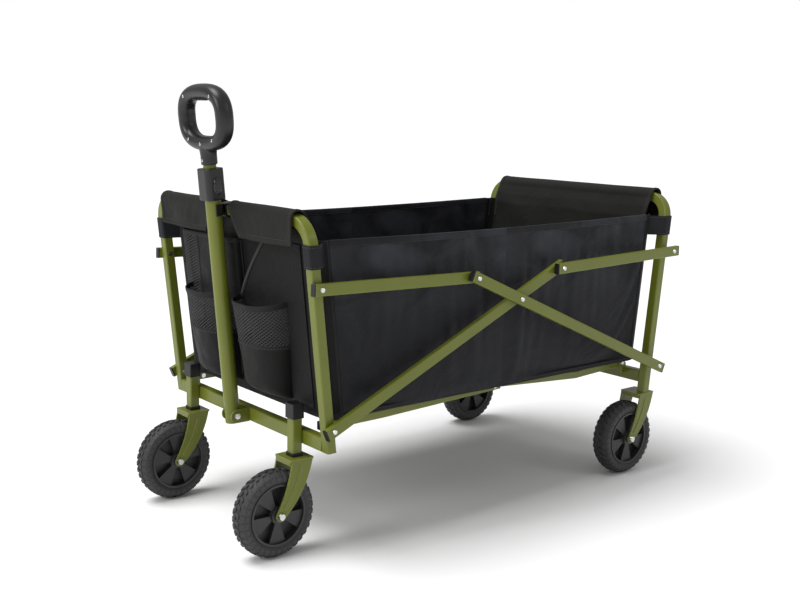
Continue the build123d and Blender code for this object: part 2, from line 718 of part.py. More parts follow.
export_step(lock_collar.part, "parts/lock_collar.step")

with BuildPart() as lock_button:
    with BuildSketch(button_plane.offset(-button_pocket + button_travel + seat)):
        SlotOverall(button_h - 2 * seat, button_w - 2 * seat, rotation=90)
    extrude(amount=button_pocket - button_travel - seat + button_proud)
    with BuildSketch(button_plane.offset(button_proud)):
        with GridLocations(0, 6, 1, 4):
            Rectangle(button_w - 6, 2)
    extrude(amount=0.6)
lock_button.part.label = "lock_button"
export_step(lock_button.part, "parts/lock_button.step")

with BuildPart() as inner_tube:
    with BuildSketch(handle_plane(inner_tube_start)):
        Circle(inner_tube_r)
        Circle(inner_tube_r - inner_tube_wall, mode=Mode.SUBTRACT)
    extrude(amount=grip_start + grip_socket - inner_tube_start)
inner_tube.part.label = "inner_tube"
export_step(inner_tube.part, "parts/inner_tube.step")

# --- D grip: two halves that meet on the handle's plane, a ridged insert and its screws
grip_mid = (grip_top + grip_bottom) / 2
SCREWS = [(side * 33, grip_top - 22) for side in (-1, 1)]
SCREWS += [(side * 27, grip_bottom + 22) for side in (-1, 1)]
SCREWS += [(0, grip_bottom + 17)]
insert_s = opening_top - insert_h / 2
for name, way in {"front": -1, "rear": 1}.items():
    with BuildPart() as grip_half:
        with BuildSketch(handle_face()) as outline:
            with Locations((0, grip_mid)):
                Ellipse(grip_w / 2, (grip_top - grip_bottom) / 2 + 3)
            with Locations((0, grip_top + grip_w / 2)):
                Rectangle(grip_w, grip_w, mode=Mode.SUBTRACT)
            fillet(outline.vertices(), grip_corner)
        extrude(amount=grip_depth / 2, both=True)
        with BuildSketch(handle_face()) as opening:
            with BuildLine():
                Polyline(
                    (-opening_top_w / 2, opening_top),
                    (opening_top_w / 2, opening_top),
                    (opening_mid_w / 2, (opening_top + opening_bottom) / 2 + 3),
                    (opening_bottom_w / 2, opening_bottom),
                    (-opening_bottom_w / 2, opening_bottom),
                    (-opening_mid_w / 2, (opening_top + opening_bottom) / 2 + 3),
                    close=True,
                )
            make_face()
            fillet(opening.vertices(), opening_corner)
        extrude(amount=grip_depth, both=True, mode=Mode.SUBTRACT)
        rims = grip_half.faces().sort_by(Axis.X)
        fillet((rims[0].edges() + rims[-1].edges()), grip_round)
        with BuildSketch(handle_plane(grip_start)):
            Circle(grip_neck_r)
        extrude(amount=grip_bottom + 14 - grip_start)
        with BuildSketch(handle_plane(grip_start)):
            Circle(inner_tube_r + seat)
        extrude(amount=grip_socket + seat, mode=Mode.SUBTRACT)
        with BuildSketch(handle_face()):
            with Locations((0, insert_s)):
                Rectangle(insert_w + 2 * seat, insert_h + 2 * seat)
        extrude(amount=insert_depth / 2 + seat, both=True, mode=Mode.SUBTRACT)
        with BuildSketch(handle_face()):
            with Locations(*SCREWS):
                Circle(grip_screw_r / 2 + running)
        extrude(amount=grip_depth / 2 - 3, both=True, mode=Mode.SUBTRACT)
        with BuildSketch(handle_face(grip_depth / 2 - 4)):
            with Locations(*SCREWS):
                Circle(grip_screw_r + 0.3)
        extrude(amount=-grip_depth, mode=Mode.SUBTRACT)
        split(bisect_by=handle_face(-way * seat / 4), keep=Keep.TOP if way > 0 else Keep.BOTTOM)
    grip_half.part.label = f"grip_{name}_half"
    export_step(grip_half.part, f"parts/grip_{name}_half.step")

with BuildPart() as grip_insert:
    with BuildSketch(handle_face()):
        with Locations((0, insert_s)):
            Rectangle(insert_w, insert_h)
        with Locations((0, opening_top - insert_h)):
            with GridLocations(insert_w / insert_ridges, 0, insert_ridges, 1):
                Circle(insert_w / insert_ridges / 3)
    extrude(amount=insert_depth / 2, both=True)
grip_insert.part.label = "grip_insert"
export_step(grip_insert.part, "parts/grip_insert.step")

with BuildPart() as grip_screws:
    with BuildSketch(handle_face(grip_depth / 2 - 4 + seat / 2)):
        with Locations(*SCREWS):
            Circle(grip_screw_r)
    extrude(amount=-2)
    with BuildSketch(handle_face(grip_depth / 2 - 4 + seat / 2)):
        with Locations(*SCREWS):
            Circle(grip_screw_r / 2)
    extrude(amount=grip_depth / 2)
grip_screws.part.label = "grip_screws"
export_step(grip_screws.part, "parts/grip_screws.step")

# --- fabric tub: end walls behind the posts, side walls split at the fold, flaps over the rails
for name, end in ENDS.items():
    with BuildPart() as wall:
        with BuildSketch(end_plane(end, wall_offset)):
            low_y, high_y = up_post(tub_bottom_z), up_post(rail_z) - flap_gap - 4
            with Locations((0, (low_y + high_y) / 2)):
                Rectangle(2 * (tub_half_w - fabric - 0.5), high_y - low_y)
        extrude(amount=-end * fabric)
    wall.part.label = f"{name}_wall"
    export_step(wall.part, f"parts/{name}_wall.step")

    with BuildPart() as side_walls:
        for side in SIDES.values():
            clear = (wall_offset + fabric + seat) / cos(radians(lean))
            with BuildSketch(side_plane(side * (tub_half_w - fabric / 2))):
                with BuildLine():
                    Polyline(
                        (end * seat, tub_bottom_z),
                        (end * (post_x(tub_bottom_z) - clear), tub_bottom_z),
                        (end * (post_x(tub_top_z) - clear), tub_top_z),
                        (end * seat, tub_top_z),
                        close=True,
                    )
                make_face()
            extrude(amount=fabric / 2, both=True)
    side_walls.part.label = f"{name}_side_walls"
    export_step(side_walls.part, f"parts/{name}_side_walls.step")

    with BuildPart() as flap:
        across = Plane(
            origin=(middle_x + end * post_x(rail_z), -flap_half, rail_z),
            x_dir=(cos(radians(lean)), 0, -end * sin(radians(lean))),
            z_dir=(0, 1, 0),
        )
        outer_r = flap_gap + fabric
        # local X points along +X, local Y points down the post
        out_drop = up_post(rail_z) - up_post(flap_hem_z)
        in_drop = up_post(rail_z) - up_post(flap_inside_z)
        with BuildSketch(across):
            with BuildLine():
                Polyline((end * outer_r, 0), (end * outer_r, out_drop), (end * flap_gap, out_drop), (end * flap_gap, 0))
                ThreePointArc((end * flap_gap, 0), (0, -flap_gap), (-end * flap_gap, 0))
                Polyline(
                    (-end * flap_gap, 0), (-end * flap_gap, in_drop), (-end * outer_r, in_drop), (-end * outer_r, 0)
                )
                ThreePointArc((-end * outer_r, 0), (0, -outer_r), (end * outer_r, 0))
            make_face()
        extrude(amount=2 * flap_half)
        if name == "front":
            with BuildSketch(end_plane(end, 14.2)):
                with BuildLine():
                    Polyline(
                        (-notch_top_half, up_post(rail_z) + 40),
                        (notch_top_half, up_post(rail_z) + 40),
                        (notch_top_half, up_post(rail_z)),
                        (notch_low_half, up_post(flap_hem_z) - 10),
                        (-notch_low_half, up_post(flap_hem_z) - 10),
                        (-notch_top_half, up_post(rail_z)),
                        close=True,
                    )
                make_face()
            extrude(amount=-60, mode=Mode.SUBTRACT)
    flap.part.label = f"{name}_flap"
    export_step(flap.part, f"parts/{name}_flap.step")

    with BuildPart() as post_loops:
        for side in SIDES.values():
            with BuildSketch(
                Plane(
                    origin=(middle_x + end * post_x(loop_z[0]), side * post_y, loop_z[0]),
                    x_dir=(0, 1, 0),
                    z_dir=(end * sin(radians(lean)), 0, cos(radians(lean))),
                )
            ):
                RectangleRounded(post + 2 * (loop_t + seat), post + 2 * (loop_t + seat), post_corner + loop_t)
                RectangleRounded(post + 2 * seat, post + 2 * seat, post_corner, mode=Mode.SUBTRACT)
            extrude(amount=up_post(loop_z[1]) - up_post(loop_z[0]))
    post_loops.part.label = f"{name}_post_loops"
    export_step(post_loops.part, f"parts/{name}_post_loops.step")

# --- pockets sewn to the front wall: two cups and one wide pouch above them
with BuildPart() as pockets:
    boxes = [(cup_y[0], cup_y[1], cup_z, cup_depth), (-cup_y[1], -cup_y[0], cup_z, cup_depth)]
    boxes += [(pouch_y[0], pouch_y[1], pouch_z, pouch_depth)]
    for y0, y1, (z0, z1), depth in boxes:
        base_y = up_post(z0)
        floor_plane = Plane(
            origin=end_plane(-1, wall_offset - seat).from_local_coords((y0 / 2 + y1 / 2, base_y, 0)),
            x_dir=(0, 1, 0),
            z_dir=(-sin(radians(lean)), 0, cos(radians(lean))),
        )
        round_r = min(depth, (y1 - y0) / 2) * 0.8
        for shrink, lift in ((0, 0), (pocket_t, pocket_t)):
            with BuildSketch(floor_plane.offset(lift)) as section:
                with Locations((0, depth / 2)):
                    Rectangle(y1 - y0 - 2 * shrink, depth - 2 * shrink)
                fillet(section.vertices().group_by(Axis.Y)[-1], round_r - shrink)
            extrude(amount=up_post(z1) - base_y, mode=Mode.SUBTRACT if shrink else Mode.ADD)
pockets.part.label = "front_pockets"
export_step(pockets.part, "parts/front_pockets.step")
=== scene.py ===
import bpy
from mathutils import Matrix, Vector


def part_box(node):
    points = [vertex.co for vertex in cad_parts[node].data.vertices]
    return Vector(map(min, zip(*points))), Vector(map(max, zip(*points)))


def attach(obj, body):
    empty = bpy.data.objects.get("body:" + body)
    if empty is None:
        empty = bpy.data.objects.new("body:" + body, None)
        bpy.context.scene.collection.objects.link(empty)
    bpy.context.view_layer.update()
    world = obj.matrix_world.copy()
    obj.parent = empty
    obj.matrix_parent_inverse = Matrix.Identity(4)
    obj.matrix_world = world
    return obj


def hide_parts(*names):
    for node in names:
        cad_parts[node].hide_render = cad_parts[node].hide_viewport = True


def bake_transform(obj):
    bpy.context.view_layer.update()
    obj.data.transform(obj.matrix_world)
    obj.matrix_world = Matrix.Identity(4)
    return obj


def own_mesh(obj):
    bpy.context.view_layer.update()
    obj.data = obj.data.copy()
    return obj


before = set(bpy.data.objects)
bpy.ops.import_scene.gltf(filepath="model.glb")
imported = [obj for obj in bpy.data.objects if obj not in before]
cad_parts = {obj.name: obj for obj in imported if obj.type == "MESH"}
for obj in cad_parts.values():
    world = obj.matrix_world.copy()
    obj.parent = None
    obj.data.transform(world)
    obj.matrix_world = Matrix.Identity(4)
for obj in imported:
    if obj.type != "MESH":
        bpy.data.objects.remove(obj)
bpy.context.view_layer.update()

import math

import bpy
import numpy as np
from mathutils import Matrix, Vector, noise


# --- Studio ------------------------------------------------------------------
# A plain white floor with no visible horizon, one wide overhead softbox, one
# softbox at the handle end, and a camera at chest height off the near front
# corner.

PALE = (0.9, 0.9, 0.9, 1.0)
scene = bpy.context.scene
scene.view_settings.view_transform = "Standard"
world = bpy.data.worlds.new("studio")
world.use_nodes = True
scene.world = world


def add_node(tree, kind, sockets=None, **settings):
    made = tree.nodes.new(kind)
    for key, value in settings.items():
        setattr(made, key, value)
    for key, value in (sockets or {}).items():
        if isinstance(value, bpy.types.NodeSocket):
            tree.links.new(value, made.inputs[key])
        else:
            made.inputs[key].default_value = value
    return made


def mix_colour(tree, factor, first, second):
    return add_node(tree, "ShaderNodeMix", {0: factor, 6: first, 7: second},
                    data_type="RGBA").outputs[2]


def new_material(name, **constants):
    made = bpy.data.materials.new(name)
    made.use_nodes = True
    shader = made.node_tree.nodes["Principled BSDF"]
    for key, value in constants.items():
        shader.inputs[key.replace("_", " ")].default_value = value
    return made, made.node_tree, shader


def new_object(name, points, faces, material=None):
    mesh = bpy.data.meshes.new(name)
    mesh.from_pydata([tuple(map(float, p)) for p in points], [], faces)
    mesh.update()
    mesh.polygons.foreach_set("use_smooth", [True] * len(mesh.polygons))
    made = bpy.data.objects.new(name, mesh)
    scene.collection.objects.link(made)
    if material:
        mesh.materials.append(material)
    return made


air = world.node_tree
seen = air.nodes.new("ShaderNodeLightPath").outputs["Is Camera Ray"]
strength = add_node(air, "ShaderNodeMapRange", {0: seen, 3: 0.46, 4: 1.0})
air.nodes["Background"].inputs["Color"].default_value = (1.0, 1.0, 1.0, 1.0)
air.links.new(strength.outputs[0], air.nodes["Background"].inputs["Strength"])

floor_paint, tree, shader = new_material("floor_paint", Roughness=0.9, Specular_IOR_Level=0.0)
cloudy = add_node(tree, "ShaderNodeTexNoise", {"Scale": 1.5, "Detail": 2.0})
tint = mix_colour(tree, cloudy.outputs[0], PALE, (0.93, 0.93, 0.935, 1.0))
tree.links.new(tint, shader.inputs["Base Color"])
FLOOR_HALF = 60.0
floor = new_object("studio_floor", [(-FLOOR_HALF, -FLOOR_HALF, 0), (FLOOR_HALF, -FLOOR_HALF, 0),
                                    (FLOOR_HALF, FLOOR_HALF, 0), (-FLOOR_HALF, FLOOR_HALF, 0)],
                   [(0, 1, 2, 3)], floor_paint)


def softbox(name, place, aim, size, watts):
    lamp = bpy.data.lights.new(name, "AREA")
    lamp.shape, lamp.size, lamp.energy = "DISK", size, watts
    made = bpy.data.objects.new(name, lamp)
    made.location = place
    made.rotation_euler = (Vector(aim) - Vector(place)).to_track_quat("-Z", "Y").to_euler()
    scene.collection.objects.link(made)


softbox("front_softbox", (-3.2, 0.2, 1.9), (-0.2, 0.0, 0.35), 1.3, 34)
softbox("side_softbox", (1.6, -3.4, 2.6), (0.1, 0.0, 0.45), 1.0, 8)
ceiling = bpy.data.lights.new("ceiling_panel", "SUN")
ceiling.energy, ceiling.angle = 2.45, math.radians(38)
ceiling_lamp = bpy.data.objects.new("ceiling_panel", ceiling)
ceiling_lamp.rotation_euler = Vector((-0.30, 0.22, 1.0)).to_track_quat("Z", "Y").to_euler()
scene.collection.objects.link(ceiling_lamp)

CAMERA_PLACE = (-1.531, -1.797, 0.826)
CAMERA_YAW, CAMERA_PITCH, CAMERA_ROLL = (math.radians(a) for a in (36.84, 8.90, 0.59))
ahead = Vector((math.sin(CAMERA_YAW) * math.cos(CAMERA_PITCH),
                math.cos(CAMERA_YAW) * math.cos(CAMERA_PITCH), -math.sin(CAMERA_PITCH)))
level = ahead.cross(Vector((0, 0, 1))).normalized()
upright = level.cross(ahead)
across = math.cos(CAMERA_ROLL) * level + math.sin(CAMERA_ROLL) * upright
upright = math.cos(CAMERA_ROLL) * upright - math.sin(CAMERA_ROLL) * level
lens = bpy.data.cameras.new("camera")
lens.lens, lens.sensor_width = 49.32, 36.0
lens.shift_x, lens.shift_y = 0.0770, -0.0312
camera = bpy.data.objects.new("camera", lens)
camera.matrix_world = Matrix.Translation(CAMERA_PLACE) @ Matrix(
    (across, upright, -ahead)).transposed().to_4x4()
scene.collection.objects.link(camera)
scene.camera = camera


# --- End hoops, crossbars, stems, forks, arms, links and floor rails ---------
# Mild steel tube, bent or cut to length, welded, and coated in olive satin
# powder. The coat has a fine orange peel, faint mottling, and is rubbed
# lighter along its edges.

def new_effect(name, inputs, outputs):
    """A shader node group: inputs and outputs are (label, socket kind, value)."""
    group = bpy.data.node_groups.new(name, "ShaderNodeTree")
    for direction, rows in (("INPUT", inputs), ("OUTPUT", outputs)):
        for label, kind, value in rows:
            made = group.interface.new_socket(name=label, in_out=direction,
                                              socket_type="NodeSocket" + kind)
            if value is not None:
                made.default_value = value
    return group, group.nodes.new("NodeGroupInput"), group.nodes.new("NodeGroupOutput")


def math_node(tree, operation, *values):
    return add_node(tree, "ShaderNodeMath", dict(enumerate(values)),
                    operation=operation).outputs[0]


# grain: mottled colour, uneven gloss and a fine surface height
grain, entry, leave = new_effect(
    "surface_grain",
    [("Base", "Color", None), ("Lighter", "Color", None), ("Gloss", "Float", 0.4),
     ("Spread", "Float", 0.1), ("Fine", "Float", 900.0), ("Broad", "Float", 14.0)],
    [("Colour", "Color", None), ("Roughness", "Float", None), ("Height", "Float", None)])
place = add_node(grain, "ShaderNodeTexCoord").outputs["Object"]
fine = add_node(grain, "ShaderNodeTexNoise", {"Vector": place, "Scale": entry.outputs["Fine"],
                                              "Detail": 2.0}).outputs[0]
broad = add_node(grain, "ShaderNodeTexNoise", {"Vector": place, "Scale": entry.outputs["Broad"],
                                               "Detail": 4.0}).outputs[0]
both = math_node(grain, "ADD", math_node(grain, "MULTIPLY", broad, 0.65),
                 math_node(grain, "MULTIPLY", fine, 0.35))
toned = mix_colour(grain, both, entry.outputs["Base"], entry.outputs["Lighter"])
uneven = math_node(grain, "MULTIPLY", math_node(grain, "SUBTRACT", both, 0.5),
                   entry.outputs["Spread"])
grain.links.new(toned, leave.inputs["Colour"])
grain.links.new(math_node(grain, "ADD", entry.outputs["Gloss"], uneven),
                leave.inputs["Roughness"])
grain.links.new(fine, leave.inputs["Height"])

# edge rub: 1 on a worn outside edge, 0 on a flat face
edge_rub, entry, leave = new_effect("edge_rub", [("Strength", "Float", 6.0)],
                                    [("Mask", "Float", None)])
rounded = add_node(edge_rub, "ShaderNodeBevel", {"Radius": 0.0016}, samples=4)
true_face = add_node(edge_rub, "ShaderNodeNewGeometry")
agree = add_node(edge_rub, "ShaderNodeVectorMath",
                 {0: rounded.outputs[0], 1: true_face.outputs["Normal"]},
                 operation="DOT_PRODUCT")
turned = math_node(edge_rub, "SUBTRACT", 1.0, agree.outputs["Value"])
patchy = add_node(edge_rub, "ShaderNodeTexNoise", {"Scale": 160.0, "Detail": 3.0})
worn = math_node(edge_rub, "MULTIPLY", math_node(edge_rub, "MULTIPLY", turned, patchy.outputs[0]),
                 entry.outputs["Strength"])
clipped = add_node(edge_rub, "ShaderNodeClamp", {0: worn})
edge_rub.links.new(clipped.outputs[0], leave.inputs["Mask"])


def hard_finish(name, base, lighter, gloss, edge, fine=900.0, broad=14.0, spread=0.1,
                bump=0.05, rub=6.0, **constants):
    """A painted, moulded or plated surface with grain and rubbed edges."""
    made, tree, shader = new_material(name, **constants)
    surface = add_node(tree, "ShaderNodeGroup", {
        "Base": base + (1.0,), "Lighter": lighter + (1.0,), "Gloss": gloss, "Spread": spread,
        "Fine": fine, "Broad": broad}, node_tree=grain)
    edges = add_node(tree, "ShaderNodeGroup", {"Strength": rub}, node_tree=edge_rub)
    worn = mix_colour(tree, edges.outputs["Mask"], surface.outputs["Colour"], edge + (1.0,))
    bumped = add_node(tree, "ShaderNodeBump", {"Height": surface.outputs["Height"],
                                               "Strength": bump, "Distance": 0.001})
    tree.links.new(worn, shader.inputs["Base Color"])
    tree.links.new(surface.outputs["Roughness"], shader.inputs["Roughness"])
    tree.links.new(bumped.outputs[0], shader.inputs["Normal"])
    return made


def dress(material, *names):
    for name in names:
        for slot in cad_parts[name].material_slots:
            slot.material = material


olive_coat = hard_finish("olive_powder_coat", (0.108, 0.126, 0.011), (0.158, 0.177, 0.019),
                         0.34, (0.33, 0.36, 0.14), fine=700.0, spread=0.16, bump=0.10,
                         Coat_Weight=0.12, Coat_Roughness=0.22, Specular_IOR_Level=0.32)
dress(olive_coat, "front_hoop", "rear_hoop", "front_crossbar", "rear_crossbar", "caster_stems",
      "arms_a", "arms_b", "links_front", "links_rear", "front_floor_frame", "rear_floor_frame",
      "rear_forks", "caster_fork_left", "caster_fork_right", "handle_tube", "handle_bracket")


# --- Rivets, bolts, pins and axles -------------------------------------------
# Turned or headed steel, zinc plated to a bright silver. Each sits in a hole
# drilled through the tubes it joins and is peened or screwed tight.

bright_zinc = hard_finish("bright_zinc", (0.55, 0.56, 0.57), (0.72, 0.72, 0.72), 0.27,
                          (0.80, 0.80, 0.80), fine=1400.0, broad=220.0, spread=0.2, bump=0.06,
                          Metallic=1.0)
dress(bright_zinc, "arm_rivets", "link_rivets", "floor_pins", "front_bolts", "rear_bolts",
      "swivel_kingpins", "rear_axles", "caster_axle_left", "caster_axle_right", "grip_screws")


# --- End caps, stem caps, swivel collars and rail clip -----------------------
# Black nylon mouldings with a fine spark-eroded grain. The caps push into the
# tube ends, and the clip grips the top rail.

black_nylon = hard_finish("black_nylon", (0.0040, 0.0040, 0.0045), (0.0100, 0.0100, 0.0105), 0.40,
                          (0.035, 0.035, 0.035), fine=1500.0, broad=30.0, spread=0.15, bump=0.12,
                          rub=4.0, Specular_IOR_Level=0.30)
dress(black_nylon, "arms_a_caps", "arms_b_caps", "links_front_caps", "links_rear_caps",
      "front_floor_caps", "rear_floor_caps", "stem_caps", "swivel_collars", "rail_clip")


# --- Handle: lock collar, button, sliding tube and grip ----------------------
# The collar and the two grip shells are glass-filled nylon in charcoal, with
# a satin grain. The button is glossier. The inner tube is coated like the frame.

charcoal_nylon = hard_finish("charcoal_nylon", (0.0075, 0.0075, 0.0082), (0.0155, 0.0155, 0.0168),
                             0.33, (0.045, 0.045, 0.05), fine=1300.0, broad=22.0, spread=0.14,
                             bump=0.12, rub=4.0, Specular_IOR_Level=0.42)
button_nylon = hard_finish("button_nylon", (0.004, 0.004, 0.0045), (0.009, 0.009, 0.010), 0.22,
                           (0.07, 0.07, 0.07), rub=4.0)
ribbed_rubber = hard_finish("ribbed_rubber", (0.012, 0.012, 0.013), (0.024, 0.024, 0.026), 0.55,
                            (0.05, 0.05, 0.05), fine=900.0, spread=0.2, bump=0.2, rub=3.0)
dress(charcoal_nylon, "lock_collar")
dress(olive_coat, "inner_tube")

HANDLE_FOOT, HANDLE_LEAN = Vector((-0.442, 0.0, 0.219)), math.radians(5.5)
RING_AT, RING_HALF_W, RING_HALF_H = 0.5815, 0.0690, 0.0482
RING_ROUND, LIMB_W, LIMB_DEPTH = 2.7, 0.0143, 0.0172
up_handle = Vector((-math.sin(HANDLE_LEAN), 0, math.cos(HANDLE_LEAN)))
off_handle = Vector((-math.cos(HANDLE_LEAN), 0, -math.sin(HANDLE_LEAN)))


def on_handle(along, sideways, forward):
    return HANDLE_FOOT + up_handle * along + Vector((0, sideways, 0)) + off_handle * forward


def settle(piece, crisp=50):
    """Applies the piece's modifiers to its mesh, with edges over crisp degrees kept sharp."""
    bpy.context.view_layer.update()
    graph = bpy.context.evaluated_depsgraph_get()
    mesh = bpy.data.meshes.new_from_object(piece.evaluated_get(graph))
    piece.modifiers.clear()
    mesh.set_sharp_from_angle(angle=math.radians(crisp))
    piece.data = mesh
    return piece


def rounded_power(value, power):
    return math.copysign(abs(value) ** (2 / power), value)


def circle(count):
    """Angles evenly spaced round one turn."""
    return np.linspace(0, 2 * math.pi, count, endpoint=False)


def ring_faces(rings, count, start=0, closed=False):
    """Faces between rings of count points, with flat ends unless it closes on itself."""
    faces = []
    for k in range(rings if closed else rings - 1):
        here, there = start + k * count, start + (k + 1) % rings * count
        faces += [(here + i, here + (i + 1) % count, there + (i + 1) % count, there + i)
                  for i in range(count)]
    if not closed:
        last = start + (rings - 1) * count
        faces += [tuple(range(start, start + count))[::-1], tuple(range(last, last + count))]
    return faces


ring, around, section = [], 96, 28
for k in range(around):
    turn = 2 * math.pi * k / around
    centre = np.array([rounded_power(math.cos(turn), RING_ROUND) * RING_HALF_W,
                       rounded_power(math.sin(turn), RING_ROUND) * RING_HALF_H])
    outward = np.array([centre[0] / RING_HALF_W ** 2, centre[1] / RING_HALF_H ** 2])
    outward /= np.linalg.norm(outward)
    for m in range(section):
        t = 2 * math.pi * m / section
        side_step = outward * LIMB_W * rounded_power(math.cos(t), 2.2)
        ring.append(on_handle(RING_AT + centre[1] + side_step[1], centre[0] + side_step[0],
                              LIMB_DEPTH * rounded_power(math.sin(t), 2.2)))
faces = ring_faces(around, section, closed=True)
neck_start = len(ring)
NECK = ((0.4935, 0.0158, 0.0158), (0.510, 0.0158, 0.0158), (0.518, 0.0175, 0.0160),
        (0.526, 0.0235, 0.0160), (0.534, 0.0320, 0.0150))
for along, half_w, half_depth in NECK:
    ring += [on_handle(along, half_w * math.cos(t), half_depth * math.sin(t))
             for t in circle(section)]
faces += ring_faces(len(NECK), section, neck_start)
grip_shell = new_object("grip_shell", ring, faces, charcoal_nylon)
fuse = grip_shell.modifiers.new("fuse", "REMESH")
fuse.mode, fuse.voxel_size = "VOXEL", 0.0013
soften = grip_shell.modifiers.new("soften", "SMOOTH")
soften.factor, soften.iterations = 0.5, 9
settle(grip_shell, 60)
grip_shell.data.polygons.foreach_set("use_smooth", [True] * len(grip_shell.data.polygons))

ridges, faces = [], []
RIDGE_R, RIDGE_HALF = 0.0026, 0.0125
for step in range(-2, 3):
    start = len(ridges)
    for place, size in ((-1, 0.35), (-0.9, 0.8), (-0.7, 1), (0.7, 1), (0.9, 0.8), (1, 0.35)):
        ridges += [on_handle(RING_AT + RING_HALF_H - LIMB_W + 0.0004
                             + RIDGE_R * size * math.sin(t),
                             step * 0.0096 + RIDGE_R * 1.5 * size * math.cos(t),
                             place * RIDGE_HALF)
                   for t in circle(12)]
    faces += ring_faces(6, 12, start)
grip_ridges = new_object("grip_ridges", ridges, faces, ribbed_rubber)

heads, faces = [], []
HEAD_R, HEAD_SINK = 0.0031, 0.0004
SCREWS = ((0.0400, 0.0480), (0.0400, -0.0480), (-0.0400, 0.0440), (-0.0480, 0.0),
          (-0.0400, -0.0440), (-0.0790, 0.0))
for along, sideways in SCREWS:
    place, normal = grip_shell.ray_cast(on_handle(RING_AT + along, sideways, 0.05),
                                        -off_handle)[1:3]
    seat_x = normal.cross(up_handle).normalized()
    seat_y = normal.cross(seat_x).normalized()
    start = len(heads)
    for size, lift in ((1.0, -0.0012), (1.0, 0.0), (0.86, 0.0006), (0.45, 0.0009), (0.40, -0.0002),
                       (0.05, -0.0003)):
        heads += [place + normal * (lift - HEAD_SINK)
                  + (seat_x * math.cos(t) + seat_y * math.sin(t)) * HEAD_R * size
                  * (1 if size > 0.45 else 0.8 + 0.3 * abs(math.cos(2 * t)))
                  for t in circle(24)]
    faces += ring_faces(6, 24, start)
grip_heads = new_object("grip_screw_heads", heads, faces, bright_zinc)
settle(grip_heads, 40)

for piece, slot_name, nodes in ((grip_shell, "grip_plastic", ("grip_front_half",
                                                              "grip_rear_half")),
                                (grip_ridges, "grip_plastic", ("grip_insert",)),
                                (grip_heads, "zinc_steel", ("grip_screws",))):
    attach(piece, "grip")
    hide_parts(*nodes)

low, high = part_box("lock_button")
thumb, faces, count = [], [], 40
pad_at = (low + high) / 2
for size, lift in ((1.0, 0.0040), (1.0, -0.0006), (0.95, -0.0014), (0.84, -0.0018), (0.80, -0.0011),
                   (0.55, -0.0013), (0.05, -0.0014)):
    thumb += [Vector((pad_at.x, low.y + 0.0010 + lift, pad_at.z))
              + off_handle * 0.0090 * size * math.cos(t) + up_handle * 0.0168 * size * math.sin(t)
              for t in circle(count)]
thumb_button = settle(new_object("thumb_button", thumb, ring_faces(7, count), button_nylon), 35)
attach(thumb_button, "button")
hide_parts("lock_button")


# --- Wheel hubs --------------------------------------------------------------
# Five-spoke hubs moulded in charcoal polypropylene, one piece with the rim and
# the bearing barrel.

hub_plastic = hard_finish("hub_plastic", (0.016, 0.016, 0.017), (0.030, 0.030, 0.032), 0.46,
                          (0.08, 0.08, 0.08), fine=1200.0, broad=45.0, spread=0.2, bump=0.12,
                          rub=4.0)
dress(hub_plastic, "hub_front_left", "hub_front_right", "hub_rear_left", "hub_rear_right")


# --- Tyres -------------------------------------------------------------------
# Solid rubber tyres pressed over the rims: a rounded carcass with
# slanted lugs in two rows on the crown and a row of shoulder lugs on each side
# that wrap down onto the sidewall.

TYRE_R, TYRE_HALF_W, TYRE_BORE = 0.0825, 0.021, 0.0585
LUG_DEPTH, LUGS = 0.0028, 34
LUG_ROOT, SHOULDER_R, SIDEWALL_R = 0.001, 0.0665, 0.0655
tyre_rubber = hard_finish("tyre_rubber", (0.014, 0.014, 0.015), (0.034, 0.034, 0.036), 0.62,
                          (0.075, 0.075, 0.075), fine=500.0, broad=35.0, spread=0.25, bump=0.2,
                          rub=3.0)


def carcass_radius(y):
    """The carcass's radius under the lugs, y from the wheel's middle."""
    out = abs(y) / TYRE_HALF_W
    return TYRE_R - LUG_DEPTH - 0.0075 * out ** 3.2


